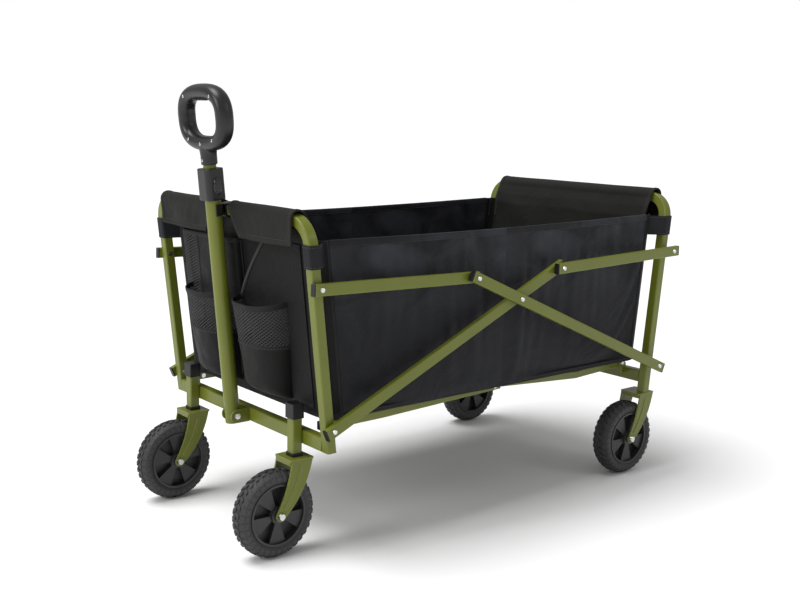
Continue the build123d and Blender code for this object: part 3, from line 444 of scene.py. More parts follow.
def tyre_shape(name, wheel, material):
    low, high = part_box(wheel)
    middle = (low + high) / 2
    crown = [(TYRE_HALF_W * f, carcass_radius(TYRE_HALF_W * f))
             for f in np.linspace(-0.97, 0.97, 17)]
    side = [(TYRE_HALF_W, 0.0690), (TYRE_HALF_W * 0.985, 0.0650), (TYRE_HALF_W * 0.93, 0.0615),
            (TYRE_HALF_W * 0.86, TYRE_BORE)]
    profile = [(-y, r) for y, r in reversed(side)] + crown + side
    around = 96
    points, faces = [], []
    for step in range(around):
        turn = 2 * math.pi * step / around
        points += [(r * math.cos(turn), y, r * math.sin(turn)) for y, r in profile]
    count = len(profile)
    for step in range(around):
        here, there = step * count, (step + 1) % around * count
        faces += [(here + i, there + i, there + (i + 1) % count, here + (i + 1) % count)
                  for i in range(count)]

    def lug(outline, base, top, taper):
        """outline is four (turn, y) corners; base and top give a radius for a y."""
        start = len(points)
        mid_turn = sum(t for t, _ in outline) / 4
        mid_y = sum(y for _, y in outline) / 4
        for lift, shrink in ((base, 1.0), (lambda y: base(y) * 0.3 + top(y) * 0.7, 1 - taper * 0.4),
                             (top, 1 - taper)):
            for t, y in outline:
                t, y = mid_turn + (t - mid_turn) * shrink, mid_y + (y - mid_y) * shrink
                points.append((lift(y) * math.cos(t), y, lift(y) * math.sin(t)))
        faces.extend(ring_faces(3, 4, start))

    def root(y):
        return carcass_radius(y) - LUG_ROOT

    pitch = 2 * math.pi / LUGS
    for k in range(LUGS):
        for way in (-1, 1):
            t = pitch * (k + (0.5 if way > 0 else 0.0))
            slant = 0.30 * pitch
            lug([(t - 0.30 * pitch, way * 0.0008), (t + 0.26 * pitch, way * 0.0008),
                 (t + 0.26 * pitch + slant, way * 0.0098),
                 (t - 0.30 * pitch + slant, way * 0.0098)],
                root, lambda y: carcass_radius(y) + LUG_DEPTH, 0.16)
            t += 0.45 * pitch
            lug([(t - 0.33 * pitch, way * 0.0116), (t + 0.33 * pitch, way * 0.0116),
                 (t + 0.27 * pitch, way * 0.0205), (t - 0.27 * pitch, way * 0.0205)],
                root, lambda y: carcass_radius(y) + LUG_DEPTH - 0.0006, 0.14)
            lug([(t - 0.27 * pitch, way * 0.0190), (t + 0.27 * pitch, way * 0.0190),
                 (t + 0.20 * pitch, way * 0.0211), (t - 0.20 * pitch, way * 0.0211)],
                lambda y: SHOULDER_R,
                lambda y: SHOULDER_R + (carcass_radius(TYRE_HALF_W) - SIDEWALL_R)
                * (1 - 0.05 * abs(y) / TYRE_HALF_W), 0.05)
    made = new_object(name, points, faces, material)
    made.data.transform(Matrix.Translation(middle))
    return made


for end in ("front", "rear"):
    for flank in ("left", "right"):
        tyre = settle(tyre_shape(f"{end}_{flank}_tyre", f"tyre_{end}_{flank}", tyre_rubber), 38)
        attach(tyre, f"wheel_{end}_{flank}")
        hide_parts(f"tyre_{end}_{flank}")


# --- Side walls --------------------------------------------------------------
# One panel of 600 denier polyester along each side, coated on the back. Its
# ends are sewn to the end walls and its top edge is turned over and stitched.
# It is modelled in two halves, so that each can gather on its own end frame.

MIDDLE_X = 0.043
LEAN_ANGLE = math.radians(6.5)
LOW_PIVOT_Z, HALF_BASE, LEAN = 0.249, 0.450, math.tan(LEAN_ANGLE)
WALL_Y, WALL_FOOT, WALL_TOP = 0.254, 0.259, 0.587
WALL_INSET, CORNER_R = 0.013, 0.036
CLOTH_T = 0.002


def end_x(way, z, out=0.0):
    """X of an end frame's plane at height z, moved outwards; way is -1 front, 1 rear."""
    return MIDDLE_X + way * (HALF_BASE + (z - LOW_PIVOT_Z) * LEAN + out)


def run_along(line):
    """Distance along a line of points, from 0 at its start."""
    return np.concatenate([[0], np.cumsum(np.linalg.norm(np.diff(line, axis=0), axis=1))])


def unit(vectors):
    return vectors / np.maximum(np.linalg.norm(vectors, axis=-1, keepdims=True), 1e-9)


def grid_sheet(name, table, material):
    """A sheet through a table of points (rows, columns, 3), with UVs in metres."""
    rows, columns = table.shape[:2]
    corner = np.arange(rows * columns).reshape(rows, columns)
    faces = np.stack([corner[:-1, :-1], corner[:-1, 1:], corner[1:, 1:], corner[1:, :-1]],
                     axis=-1).reshape(-1, 4)
    made = new_object(name, table.reshape(-1, 3), faces.tolist(), material)
    along, upward = run_along(table[rows // 2]), run_along(table[:, columns // 2])
    flat = np.stack(np.meshgrid(along, upward), axis=-1).reshape(-1, 2)
    layer = made.data.uv_layers.new(name="cloth")
    loops = np.zeros(len(made.data.loops), int)
    made.data.loops.foreach_get("vertex_index", loops)
    layer.data.foreach_set("uv", flat[loops].ravel())
    return made


def thicken(piece, thickness):
    made = piece.modifiers.new("thickness", "SOLIDIFY")
    made.thickness, made.offset = thickness, 0.0
    return settle(piece)


def add_parts(whole, *parts):
    """Joins the parts' meshes into the first piece."""
    with bpy.context.temp_override(active_object=whole, object=whole,
                                   selected_objects=[whole, *parts],
                                   selected_editable_objects=[whole, *parts]):
        bpy.ops.object.join()
    return whole


# weave: a plain weave's height and thread tone from cloth coordinates
weave, entry, leave = new_effect(
    "plain_weave", [("Cloth", "Vector", None), ("Threads", "Float", 1300.0)],
    [("Tone", "Float", None), ("Height", "Float", None)])
wobble = add_node(weave, "ShaderNodeTexNoise", {"Vector": entry.outputs["Cloth"], "Scale": 60.0})
spread = add_node(weave, "ShaderNodeVectorMath", {0: wobble.outputs["Color"],
                                                  1: (0.0012, 0.0012, 0.0)},
                  operation="MULTIPLY")
moved = add_node(weave, "ShaderNodeVectorMath", {0: entry.outputs["Cloth"],
                                                 1: spread.outputs[0]}, operation="ADD")
parts = add_node(weave, "ShaderNodeSeparateXYZ", {0: moved.outputs[0]})
warp = math_node(weave, "MULTIPLY", parts.outputs[0], entry.outputs["Threads"])
weft = math_node(weave, "MULTIPLY", parts.outputs[1], entry.outputs["Threads"])
over = math_node(weave, "PINGPONG", math_node(weave, "ADD", math_node(weave, "FLOOR", warp),
                                              math_node(weave, "FLOOR", weft)), 1.0)
warp_round = math_node(weave, "ABSOLUTE", math_node(weave, "SINE", math_node(
    weave, "MULTIPLY", warp, math.pi)))
weft_round = math_node(weave, "ABSOLUTE", math_node(weave, "SINE", math_node(
    weave, "MULTIPLY", weft, math.pi)))
crossing = add_node(weave, "ShaderNodeMix", {0: over, 2: warp_round, 3: weft_round})
weave.links.new(crossing.outputs[0], leave.inputs["Height"])
slub = add_node(weave, "ShaderNodeTexNoise", {"Vector": entry.outputs["Cloth"], "Scale": 420.0,
                                              "Detail": 3.0})
weave.links.new(math_node(weave, "ADD", math_node(weave, "MULTIPLY", crossing.outputs[0], 0.5),
                          math_node(weave, "MULTIPLY", slub.outputs[0], 0.5)),
                leave.inputs["Tone"])


def woven(name, dark, light, gloss, threads=1300.0, bump=0.35, crease=0.0025, painted_sheen=None,
          **constants):
    """A woven fabric: thread tone, creases, and relief. The optional (colour, from, to) band, from
    and to in metres up the cloth, is painted sheen that lightens the cloth towards its top."""
    made, tree, shader = new_material(name, Specular_IOR_Level=0.14, **constants)
    cloth = add_node(tree, "ShaderNodeUVMap", uv_map="cloth")
    threads_node = add_node(tree, "ShaderNodeGroup", {"Threads": threads,
                                                      "Cloth": cloth.outputs[0]},
                            node_tree=weave)
    softly = add_node(tree, "ShaderNodeTexNoise", {"Vector": cloth.outputs[0], "Scale": 11.0,
                                                   "Detail": 6.0, "Distortion": 0.8})
    tone = math_node(tree, "ADD", math_node(tree, "MULTIPLY", softly.outputs[0], 0.55),
                     math_node(tree, "MULTIPLY", threads_node.outputs["Tone"], 0.45))
    colour = mix_colour(tree, tone, dark + (1.0,), light + (1.0,))
    # Painted sheen: the colour is mixed towards a lighter, bluer tone towards the top of the cloth,
    # in cloudy patches, standing in for light caught by the upper band.
    if painted_sheen:
        rise = add_node(tree, "ShaderNodeSeparateXYZ", {0: cloth.outputs[0]}).outputs[1]
        band = add_node(tree, "ShaderNodeMapRange", {0: rise, 1: painted_sheen[1], 2: painted_sheen[2]},
                        interpolation_type="SMOOTHSTEP").outputs[0]
        cloudy = add_node(tree, "ShaderNodeMapRange", {0: softly.outputs[0], 1: 0.35, 2: 0.70})
        colour = mix_colour(tree, math_node(tree, "MULTIPLY", band, cloudy.outputs[0]),
                            colour, painted_sheen[0] + (1.0,))
    rough = add_node(tree, "ShaderNodeMapRange", {0: tone, 1: 0.2, 2: 0.8, 3: gloss - 0.08,
                                                  4: gloss + 0.08})
    large = add_node(tree, "ShaderNodeBump", {"Height": softly.outputs[0], "Strength": 0.5,
                                              "Distance": crease})
    small = add_node(tree, "ShaderNodeBump", {"Height": threads_node.outputs["Height"],
                                              "Strength": bump, "Distance": 0.0002,
                                              "Normal": large.outputs[0]})
    tree.links.new(colour, shader.inputs["Base Color"])
    tree.links.new(rough.outputs[0], shader.inputs["Roughness"])
    tree.links.new(small.outputs[0], shader.inputs["Normal"])
    return made


# The side walls' upper band is painted sheen: lighter and bluer towards the top hem.
side_cloth = woven("side_polyester", (0.0045, 0.0045, 0.0058), (0.0150, 0.0155, 0.0190), 0.50,
                   crease=0.012, painted_sheen=((0.036, 0.038, 0.047), 0.12, 0.30), Sheen_Weight=0.12,
                   Sheen_Roughness=0.4)
thread = hard_finish("sewing_thread", (0.030, 0.030, 0.032), (0.055, 0.055, 0.058), 0.6,
                     (0.08, 0.08, 0.08), fine=2500.0, rub=0.0)
edge_tape = woven("edge_tape", (0.007, 0.007, 0.0075), (0.024, 0.024, 0.025), 0.62,
                  threads=900.0, bump=0.6, crease=0.001)


def path_and_facing(path, facing):
    """Both as arrays, with a single facing repeated for every point of the path."""
    path = np.asarray(path, float)
    return path, np.broadcast_to(np.asarray(facing, float), path.shape)


def strip(name, path, facing, half_width, half_depth, material, closed=False):
    """A flat tape with rounded edges along a path; facing is its face's direction."""
    path, facing = path_and_facing(path, facing)
    if closed:
        ahead = np.roll(path, -1, axis=0) - np.roll(path, 1, axis=0)
    else:
        ahead = np.gradient(path, axis=0)
    ahead = unit(ahead)
    wide = unit(np.cross(ahead, facing))
    out = np.cross(wide, ahead)
    section = [(math.copysign(abs(math.cos(t)) ** 0.5, math.cos(t)) * half_width,
                math.copysign(abs(math.sin(t)) ** 0.7, math.sin(t)) * half_depth)
               for t in circle(12)]
    points = np.stack([path + wide * a + out * b for a, b in section], axis=1)
    if closed:
        points = np.concatenate([points, points[:1]])
    rows, ring = points.shape[0], len(section)
    table = np.concatenate([points, points[:, :1]], axis=1)
    made = grid_sheet(name, table, material)
    if not closed:
        caps = [tuple(range(ring))[::-1], tuple((rows - 1) * (ring + 1) + i for i in range(ring))]
        mesh = made.data
        uv = [tuple(p.uv) for p in mesh.uv_layers["cloth"].data]
        fresh = bpy.data.meshes.new(name)
        fresh.from_pydata([tuple(v.co) for v in mesh.vertices], [],
                          [tuple(p.vertices) for p in mesh.polygons] + caps)
        layer = fresh.uv_layers.new(name="cloth")
        layer.data.foreach_set("uv", np.array(uv + [(0.0, 0.0)] * (2 * ring)).ravel())
        fresh.materials.append(material)
        fresh.polygons.foreach_set("use_smooth", [True] * len(fresh.polygons))
        made.data = fresh
    weld = made.modifiers.new("weld", "WELD")
    weld.merge_threshold = 1e-6
    return settle(made)


def stitch_row(name, path, facing, material, stitch=0.0036, gap=0.0022, radius=0.0005):
    """A row of sewn stitches: short rounded bars that dip into the cloth at each end."""
    path, facing = path_and_facing(path, facing)
    run = run_along(path)
    points, faces = [], []
    place = gap
    while place + stitch < run[-1]:
        ends = [np.array([np.interp(place + stitch * f, run, path[:, k]) for k in range(3)])
                for f in (0.0, 0.2, 0.5, 0.8, 1.0)]
        out = np.array([np.interp(place, run, facing[:, k]) for k in range(3)])
        wide = unit(np.cross(ends[-1] - ends[0], out))
        start = len(points)
        for centre, lift, size in zip(ends, (-0.6, 0.5, 0.8, 0.5, -0.6), (0.5, 1, 1, 1, 0.5)):
            for a, b in ((1, 0), (0.3, 0.9), (-0.3, 0.9), (-1, 0), (0, -0.9)):
                points.append(centre + out * radius * (lift + b * size) + wide * radius * a * size)
        faces += ring_faces(5, 5, start)
        place += stitch + gap
    return new_object(name, points, faces, material)


def soft_cap(value, most):
    return most * np.tanh(value / most)


SIDE_COLUMNS, SIDE_ROWS = 121, 41
BUCKLE, SPARE, LAST_FRAME = 0.0060, 0.006, 26
side_normals = {"left": -1, "right": 1}
wall_tables = {}
for flank, side in side_normals.items():
    length, height = np.meshgrid(np.linspace(0, 1, SIDE_COLUMNS), np.linspace(0, 1, SIDE_ROWS))
    z = WALL_FOOT + (WALL_TOP - WALL_FOOT) * height
    front = end_x(-1, z, -WALL_INSET) + CORNER_R
    rear = end_x(1, z, -WALL_INSET) - CORNER_R
    x = front + (rear - front) * length
    start = np.stack([x, np.full_like(x, side * WALL_Y), z], axis=-1)
    loose = grid_sheet("loose_" + flank, start, side_cloth)
    pinned = loose.vertex_groups.new(name="sewn")
    edge = [r * SIDE_COLUMNS + c for r in range(SIDE_ROWS) for c in range(SIDE_COLUMNS)
            if r in (0, SIDE_ROWS - 1) or c in (0, SIDE_COLUMNS - 1)]
    pinned.add(edge, 1.0, "REPLACE")
    for vertex in loose.data.vertices:
        swirl = noise.noise(Vector((vertex.co.x * 9, side * 3.1, vertex.co.z * 14)))
        vertex.co.y += 0.0015 * swirl
    drape = loose.modifiers.new("drape", "CLOTH")
    drape.settings.quality = 6
    drape.settings.mass = 0.12
    drape.settings.tension_stiffness = drape.settings.compression_stiffness = 12
    drape.settings.shear_stiffness = 4
    drape.settings.bending_stiffness = 0.25
    drape.settings.shrink_min = -SPARE
    drape.settings.vertex_group_mass = "sewn"
    drape.point_cache.frame_start, drape.point_cache.frame_end = 1, LAST_FRAME
    for step in range(1, LAST_FRAME + 1):
        scene.frame_set(step)
    graph = bpy.context.evaluated_depsgraph_get()
    hung = bpy.data.meshes.new_from_object(loose.evaluated_get(graph))
    shape = np.array([v.co for v in hung.vertices]).reshape(SIDE_ROWS, SIDE_COLUMNS, 3)
    bpy.data.objects.remove(loose)
    scene.frame_set(1)
    across_fade = np.minimum(1, np.abs(x - MIDDLE_X) / 0.05)
    bulge = soft_cap(shape[..., 1] - side * WALL_Y, BUCKLE) * across_fade
    edge_fade = np.sin(np.pi * height) * np.sin(np.pi * length)
    table = start.copy()
    table[..., 1] += bulge
    table[..., 1] += side * 0.0015 * np.clip(edge_fade, 0, 1) * across_fade
    table[..., 2] -= 0.004 * np.sin(np.pi * length) * height ** 4
    wall_tables[flank] = table

middle_column = SIDE_COLUMNS // 2
for flank, side in side_normals.items():
    table = wall_tables[flank]
    table[:, middle_column, 0] = MIDDLE_X
    for end, way, columns in (("front", -1, slice(0, middle_column + 1)),
                              ("rear", 1, slice(middle_column, SIDE_COLUMNS))):
        half = table[:, columns]
        cloth = thicken(grid_sheet(f"{end}_{flank}_wall", half, side_cloth), CLOTH_T)
        top = half[-1]
        out = (0, side, 0)
        hem_path = top - [0, 0, 0.0060]
        hem = strip("hem", hem_path, out, 0.0072, 0.0021, side_cloth)
        foot_tape = strip("foot", half[0] + [0, 0, 0.004], out, 0.0050, 0.0019, edge_tape)
        rows = [stitch_row("stitches", hem_path + [0, s * 0.0022, -0.0048], (0, s, 0), thread)
                for s in (side, -side)]
        rows.append(stitch_row("stitches", half[0] + [0, side * 0.0019, 0.0065], out, thread))
        add_parts(cloth, hem, foot_tape, *rows)
        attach(cloth, f"{end}_frame")
        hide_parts(f"{end}_side_walls")
        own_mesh(cloth)


# --- End walls ---------------------------------------------------------------
# The same polyester in one panel across each end, with rounded corners where
# it is sewn to the side walls. It hangs under the top flap and stands a little
# off the posts.

END_COLUMNS, END_ROWS = 121, 45
RISE = 0.019
end_cloth = woven("end_polyester", (0.0035, 0.0035, 0.0035), (0.0120, 0.0120, 0.0117), 0.58,
                  crease=0.010, Sheen_Weight=0.04, Sheen_Roughness=0.4)


def end_plan(count):
    """(y, inset from the wall's plane) round the corners and across an end wall."""
    straight = 2 * (WALL_Y - CORNER_R)
    arc = CORNER_R * math.pi / 2
    places = []
    for run in np.linspace(0, straight + 2 * arc, count):
        if run < arc:
            t = run / CORNER_R
            places.append((-WALL_Y + CORNER_R * (1 - math.cos(t)), CORNER_R * (1 - math.sin(t))))
        elif run > arc + straight:
            t = (run - arc - straight) / CORNER_R
            places.append((WALL_Y - CORNER_R * (1 - math.sin(t)), CORNER_R * (1 - math.cos(t))))
        else:
            places.append((-WALL_Y + CORNER_R + run - arc, 0.0))
    return np.array(places)


def level_out(line):
    """Level unit vectors square to a line of points."""
    step = np.gradient(line, axis=0)
    return unit(np.stack([step[:, 1], -step[:, 0], 0 * step[:, 0]], axis=1))


for end, way in (("front", -1), ("rear", 1)):
    plan = end_plan(END_COLUMNS)
    table = np.zeros((END_ROWS, END_COLUMNS, 3))
    for c, (y, inset) in enumerate(plan):
        rise = RISE * min(1, max(0, (WALL_Y - 0.012 - abs(y)) / 0.03)) ** 2
        for r in range(END_ROWS):
            f = r / (END_ROWS - 1)
            z = WALL_FOOT + (WALL_TOP + rise - WALL_FOOT) * f
            fade = math.sin(math.pi * min(f, 1)) * math.sin(math.pi * c / (END_COLUMNS - 1))
            soft = noise.noise(Vector((y * 7, way * 5.0, z * 9))) * 0.7
            soft += noise.noise(Vector((y * 21 + z * 14, way * 2.0, z * 17))) * 0.3
            table[r, c] = (end_x(way, z, -WALL_INSET - inset + 0.0035 * soft * fade), y, z)
    wall = thicken(grid_sheet(f"{end}_wall_cloth", table, end_cloth), CLOTH_T)
    seams = []
    for c in (1, END_COLUMNS - 2):
        lean_out = np.tile((0, np.sign(plan[c, 0]), 0), (END_ROWS, 1))
        seams.append(strip("seam", table[:, c], lean_out, 0.0028, 0.0020, edge_tape))
    seams.append(strip("seam", table[0] + [0, 0, 0.004], level_out(table[0]) * way, 0.0050,
                       0.0019, edge_tape))
    add_parts(wall, *seams)
    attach(wall, f"{end}_frame")
    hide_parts(f"{end}_wall")


# --- Floor -------------------------------------------------------------------
# Two padded boards in the same polyester, hinged where they meet, lying on the
# floor rails. A sewn cord runs round each board.

PANEL_Z, PANEL_T = 0.2652, 0.0030
PANEL_COLUMNS, PANEL_ROWS = 61, 61
floor_cloth = woven("floor_polyester", (0.005, 0.005, 0.006), (0.015, 0.015, 0.016), 0.60,
                    crease=0.004)
for end, way in (("front", -1), ("rear", 1)):
    low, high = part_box(f"{end}_floor_panel")
    xs = np.linspace(low.x, high.x, PANEL_COLUMNS)
    ys = np.linspace(low.y, high.y, PANEL_ROWS)
    table = np.zeros((PANEL_ROWS, PANEL_COLUMNS, 3))
    for r, y in enumerate(ys):
        for c, x in enumerate(xs):
            f, g = c / (PANEL_COLUMNS - 1), r / (PANEL_ROWS - 1)
            dome = (math.sin(math.pi * f) * math.sin(math.pi * g)) ** 0.5
            ripple = noise.noise(Vector((x * 8, y * 8, way * 4.0)))
            table[r, c] = (x, y, PANEL_Z + 0.0016 * dome + 0.0009 * ripple * dome)
    panel = thicken(grid_sheet(f"{end}_floor_board", table, floor_cloth), PANEL_T)
    rim = np.concatenate([table[0, 1:-1], table[1:-1, -1], table[-1, -2:0:-1], table[-2:0:-1, 0]])
    inward = rim + (np.array([(low.x + high.x) / 2, 0, PANEL_Z]) - rim) * 0.012
    add_parts(panel, strip("cord", inward, (0, 0, 1), 0.0026, 0.0024, edge_tape, closed=True))
    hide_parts(f"{end}_floor_panel")
    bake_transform(panel)


# --- Front pockets -----------------------------------------------------------
# Two cup pockets, one each side of the handle: netting above, polyester below,
# a taped rim that stands open. Above the far cup is a flat pouch with a net
# end. A slanted slip pocket is sewn across the near half of the wall.

WALL_FACE = -WALL_INSET + 0.0015
CUP_IN, CUP_OUT, CUP_DEPTH = 0.0205, 0.1595, 0.057
CUP_FOOT, CUP_BAND, CUP_CURL, CUP_TALL = 0.277, 0.378, 0.026, 0.184
NET_SLANT, NET_PITCH, NET_CORD_R = 1.45, 0.0088, 0.00080
POCKET_T, OFF_WALL = 0.0016, (-1, 0, 0.1)
net_cord = woven("net_cord", (0.045, 0.045, 0.045), (0.100, 0.100, 0.100), 0.55,
                 threads=1800.0, bump=0.5, crease=0.0005)


def at(table, row, column):
    """A point of a table of points at a fractional row and column."""
    rows, columns = table.shape[:2]
    row, column = min(max(row, 0), rows - 1.0001), min(max(column, 0), columns - 1.0001)
    r, c = int(row), int(column)
    a, b = row - r, column - c
    return ((table[r, c] * (1 - b) + table[r, c + 1] * b) * (1 - a)
            + (table[r + 1, c] * (1 - b) + table[r + 1, c + 1] * b) * a)


def netting(name, table, pitch, radius, material):
    """Diagonal net cords over a table of points, woven over and under."""
    rows, columns = table.shape[:2]
    wide = np.linalg.norm(np.diff(table[rows // 2], axis=0), axis=1).sum()
    tall = np.linalg.norm(np.diff(table[:, columns // 2], axis=0), axis=1).sum()
    points, faces = [], []
    for way in (-1, 1):
        offset = -tall * NET_SLANT
        while offset < wide + tall * NET_SLANT:
            line, facing = [], []
            for v in np.arange(0, tall + pitch / 4, pitch / 4):
                u = offset + way * v * NET_SLANT
                if -1e-9 <= u <= wide:
                    row, column = v / tall * (rows - 1), u / wide * (columns - 1)
                    here = at(table, row, column)
                    du = at(table, row, column + 0.5) - at(table, row, column - 0.5)
                    dv = at(table, row + 0.5, column) - at(table, row - 0.5, column)
                    out = unit(np.cross(du, dv))
                    line.append(here + out * radius * 0.6 * way)
                    facing.append(out)
            if len(line) > 2:
                line, facing = np.array(line), np.array(facing)
                side_way = np.cross(unit(np.gradient(line, axis=0)), facing)
                start, ring = len(points), 5
                for p, n, s in zip(line, facing, side_way):
                    points += [p + radius * (math.cos(t) * s + 0.7 * math.sin(t) * n)
                               for t in circle(ring)]
                faces += ring_faces(len(line), ring, start)
            offset += pitch
    made = new_object(name, points, faces, material)
    made.data.uv_layers.new(name="cloth")
    return made


def respaced(line, count):
    """The same flat line through count evenly spaced points."""
    run = run_along(line)
    even = np.linspace(0, run[-1], count)
    return np.stack([np.interp(even, run, line[:, k]) for k in (0, 1)], axis=1)


def bow(count, power):
    """(place across 0..1, share of full depth) round a pocket's front, evenly spaced."""
    turns = np.linspace(math.pi, 0, 400)
    xs = np.sign(np.cos(turns)) * np.abs(np.cos(turns)) ** (2 / power) * 0.5 + 0.5
    ds = np.abs(np.sin(turns)) ** (2 / power)
    return respaced(np.stack([xs, ds * 0.5], axis=1), count) * (1, 2)


def outward(table, row):
    """Unit vectors away from the wagon's inside along a row of a pocket's table."""
    du = np.gradient(table[row], axis=0)
    near = table[max(row - 1, 0)]
    far = table[min(row + 1, len(table) - 1)]
    out = unit(np.cross(du, far - near))
    return out * np.where(out[len(out) // 2, 0] > 0, -1, 1)


pocket_pieces = []
for flank, side in side_normals.items():
    columns = bow(41, 2.5)
    heights = np.concatenate([np.linspace(0, 1, 9)[:-1] * CUP_CURL,
                              np.linspace(CUP_CURL, CUP_TALL, 30)])
    table = np.zeros((len(heights), len(columns), 3))
    for r, rise in enumerate(heights):
        curl = math.sqrt(max(0, 1 - (1 - min(rise / CUP_CURL, 1)) ** 2))
        f = rise / CUP_TALL
        depth = CUP_DEPTH * (0.80 + 0.20 * f) * curl
        narrow = 0.010 * (1 - f) ** 2
        for c, (place, share) in enumerate(columns):
            y = side * (CUP_IN + narrow + (CUP_OUT - CUP_IN - 2 * narrow) * place)
            z = CUP_FOOT + rise - 0.010 * f ** 3 * share
            slack = 0.0018 * noise.noise(Vector((y * 40, z * 30, side * 2.0))) * share * curl
            table[r, c] = (end_x(-1, z, WALL_FACE + max(depth * share + slack, 0.0004)), y, z)
    band_row = int(np.searchsorted(heights, CUP_BAND - CUP_FOOT))
    lower = thicken(grid_sheet(f"{flank}_cup_pocket", table[:band_row + 1], end_cloth), POCKET_T)
    parts = [netting("net", table[band_row:], NET_PITCH, NET_CORD_R, net_cord)]
    out = outward(table, len(table) - 2)
    parts.append(strip("rim", table[-1], out, 0.0055, 0.0017, edge_tape))
    out = outward(table, band_row)
    parts.append(strip("band", table[band_row], out, 0.0042, 0.0014, edge_tape))
    parts.append(stitch_row("stitches", table[band_row] + out * 0.0016, out, thread))
    for c in (0, -1):
        parts.append(strip("edge", table[4:, c] + [-0.0008, 0, 0], (-1, 0, 0), 0.0048, 0.0013,
                           edge_tape))
    add_parts(lower, *parts)
    pocket_pieces.append(lower)

POUCH_NEAR, POUCH_FAR, POUCH_DEPTH = -0.016, 0.189, 0.025
POUCH_FOOT, POUCH_TOP, POUCH_NET_FROM = 0.415, 0.5655, 0.118
columns = bow(57, 5.0)
heights = np.linspace(0, POUCH_TOP - POUCH_FOOT, 33)
table = np.zeros((len(heights), len(columns), 3))
for r, rise in enumerate(heights):
    curl = math.sqrt(max(0, 1 - (1 - min(rise / 0.022, 1)) ** 2))
    f = rise / heights[-1]
    for c, (place, share) in enumerate(columns):
        y = POUCH_NEAR + (POUCH_FAR - POUCH_NEAR) * place
        z = POUCH_FOOT + rise
        slack = 0.0022 * noise.noise(Vector((y * 16, z * 22, 7.0))) * share * curl
        depth = POUCH_DEPTH * (0.86 - 0.10 * f) * share * curl + slack
        table[r, c] = (end_x(-1, z, WALL_FACE + max(depth, 0.0004)), y, z)
net_column = int(np.argmax(table[16, :, 1] > POUCH_NET_FROM))
pouch = thicken(grid_sheet("handle_pouch", table[:, :net_column + 1], end_cloth), POCKET_T)
parts = [netting("net", table[:, net_column:], NET_PITCH, NET_CORD_R, net_cord)]
parts.append(strip("rim", table[-1], outward(table, len(table) - 2), 0.0050, 0.0016, edge_tape))
parts.append(strip("foot", table[4], outward(table, 4), 0.0040, 0.0014, edge_tape))
for c, lift in ((net_column, 0.0006), (0, 0.0008), (-1, 0.0008)):
    parts.append(strip("edge", table[:, c] - [lift, 0, 0], OFF_WALL, 0.0040, 0.0013, edge_tape))
add_parts(pouch, *parts)
pocket_pieces.append(pouch)

SLIP_EDGE = ((0.276, -0.036), (0.400, -0.036), (0.426, 0.003), (0.578, -0.109))
SLIP_FAR = -0.2178
rows, columns = 61, 41
table = np.zeros((rows, columns, 3))
for r in range(rows):
    z = SLIP_EDGE[0][0] + (SLIP_EDGE[-1][0] - SLIP_EDGE[0][0]) * r / (rows - 1)
    near = np.interp(z, *zip(*SLIP_EDGE))
    gape = max(0.0, math.sin(math.pi * min(max((z - 0.40) / 0.19, 0), 1)))
    for c in range(columns):
        f = c / (columns - 1)
        y = near + (SLIP_FAR - near) * f
        stand = 0.0012 + 0.0018 * (1 - f) + 0.0125 * math.exp(-f * 3.0) * gape * (1 - f)
        stand += 0.0022 * noise.noise(Vector((y * 18, z * 15, 11.0))) * math.sin(math.pi * f)
        table[r, c] = (end_x(-1, z, WALL_FACE + stand), y, z)
slip_tape = woven("slip_tape", (0.018, 0.018, 0.018), (0.055, 0.055, 0.054), 0.6, threads=900.0,
                  bump=0.6, crease=0.001)
slip = thicken(grid_sheet("slip_pocket", table, end_cloth), POCKET_T)
parts = [strip("edge", table[:, 0] + [-0.0008, 0, 0], OFF_WALL, 0.0036, 0.0018, slip_tape)]
parts.append(stitch_row("stitches", table[:, 1] + [-0.0020, 0, 0], OFF_WALL, thread))
parts.append(strip("edge", table[0] + [-0.0004, 0, 0.002], OFF_WALL, 0.0040, 0.0016,
                   edge_tape))
add_parts(slip, *parts)
pocket_pieces.append(slip)

for piece in pocket_pieces:
    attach(piece, "front_frame")
    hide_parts("front_pockets")


# --- Top flaps ---------------------------------------------------------------
# A folded sheet of heavier polyester wraps the top rail of each end and is
# closed underneath by hook tape. Every edge is bound in tape. The front flap is
# notched at its middle so that the handle can lie against the rail.

RAIL_Z, FLAP_R, FLAP_HALF, FLAP_T = 0.625, 0.0166, 0.2375, 0.0022
FLAP_HEM, FLAP_ROWS = 0.580, 81
NOTCH_TOP, NOTCH_HEM = 0.027, 0.062
flap_cloth = woven("flap_polyester", (0.0042, 0.0041, 0.0036), (0.0150, 0.0146, 0.0130), 0.66,
                   threads=1000.0, bump=0.5, crease=0.010, Sheen_Weight=0.03,
                   Sheen_Roughness=0.5)
flap_tape = woven("flap_tape", (0.008, 0.0076, 0.0066), (0.027, 0.0255, 0.0225), 0.72,
                  threads=900.0, bump=0.6, crease=0.001)


def flap_profile(hem_out, hem_in, count):
    """(outward distance, height) from the outer hem over the rail to the inner hem."""
    places = [(FLAP_R + 0.0012, hem_out), (FLAP_R, RAIL_Z - 0.004)]
    places += [(FLAP_R * math.cos(t), RAIL_Z + FLAP_R * math.sin(t))
               for t in np.linspace(0.05, math.pi - 0.05, 24)]
    places += [(-FLAP_R, RAIL_Z - 0.002), (-0.0245, RAIL_Z - 0.022), (-0.0295, RAIL_Z - 0.045),
               (-0.0310, hem_in)]
    return respaced(np.array(places), count)


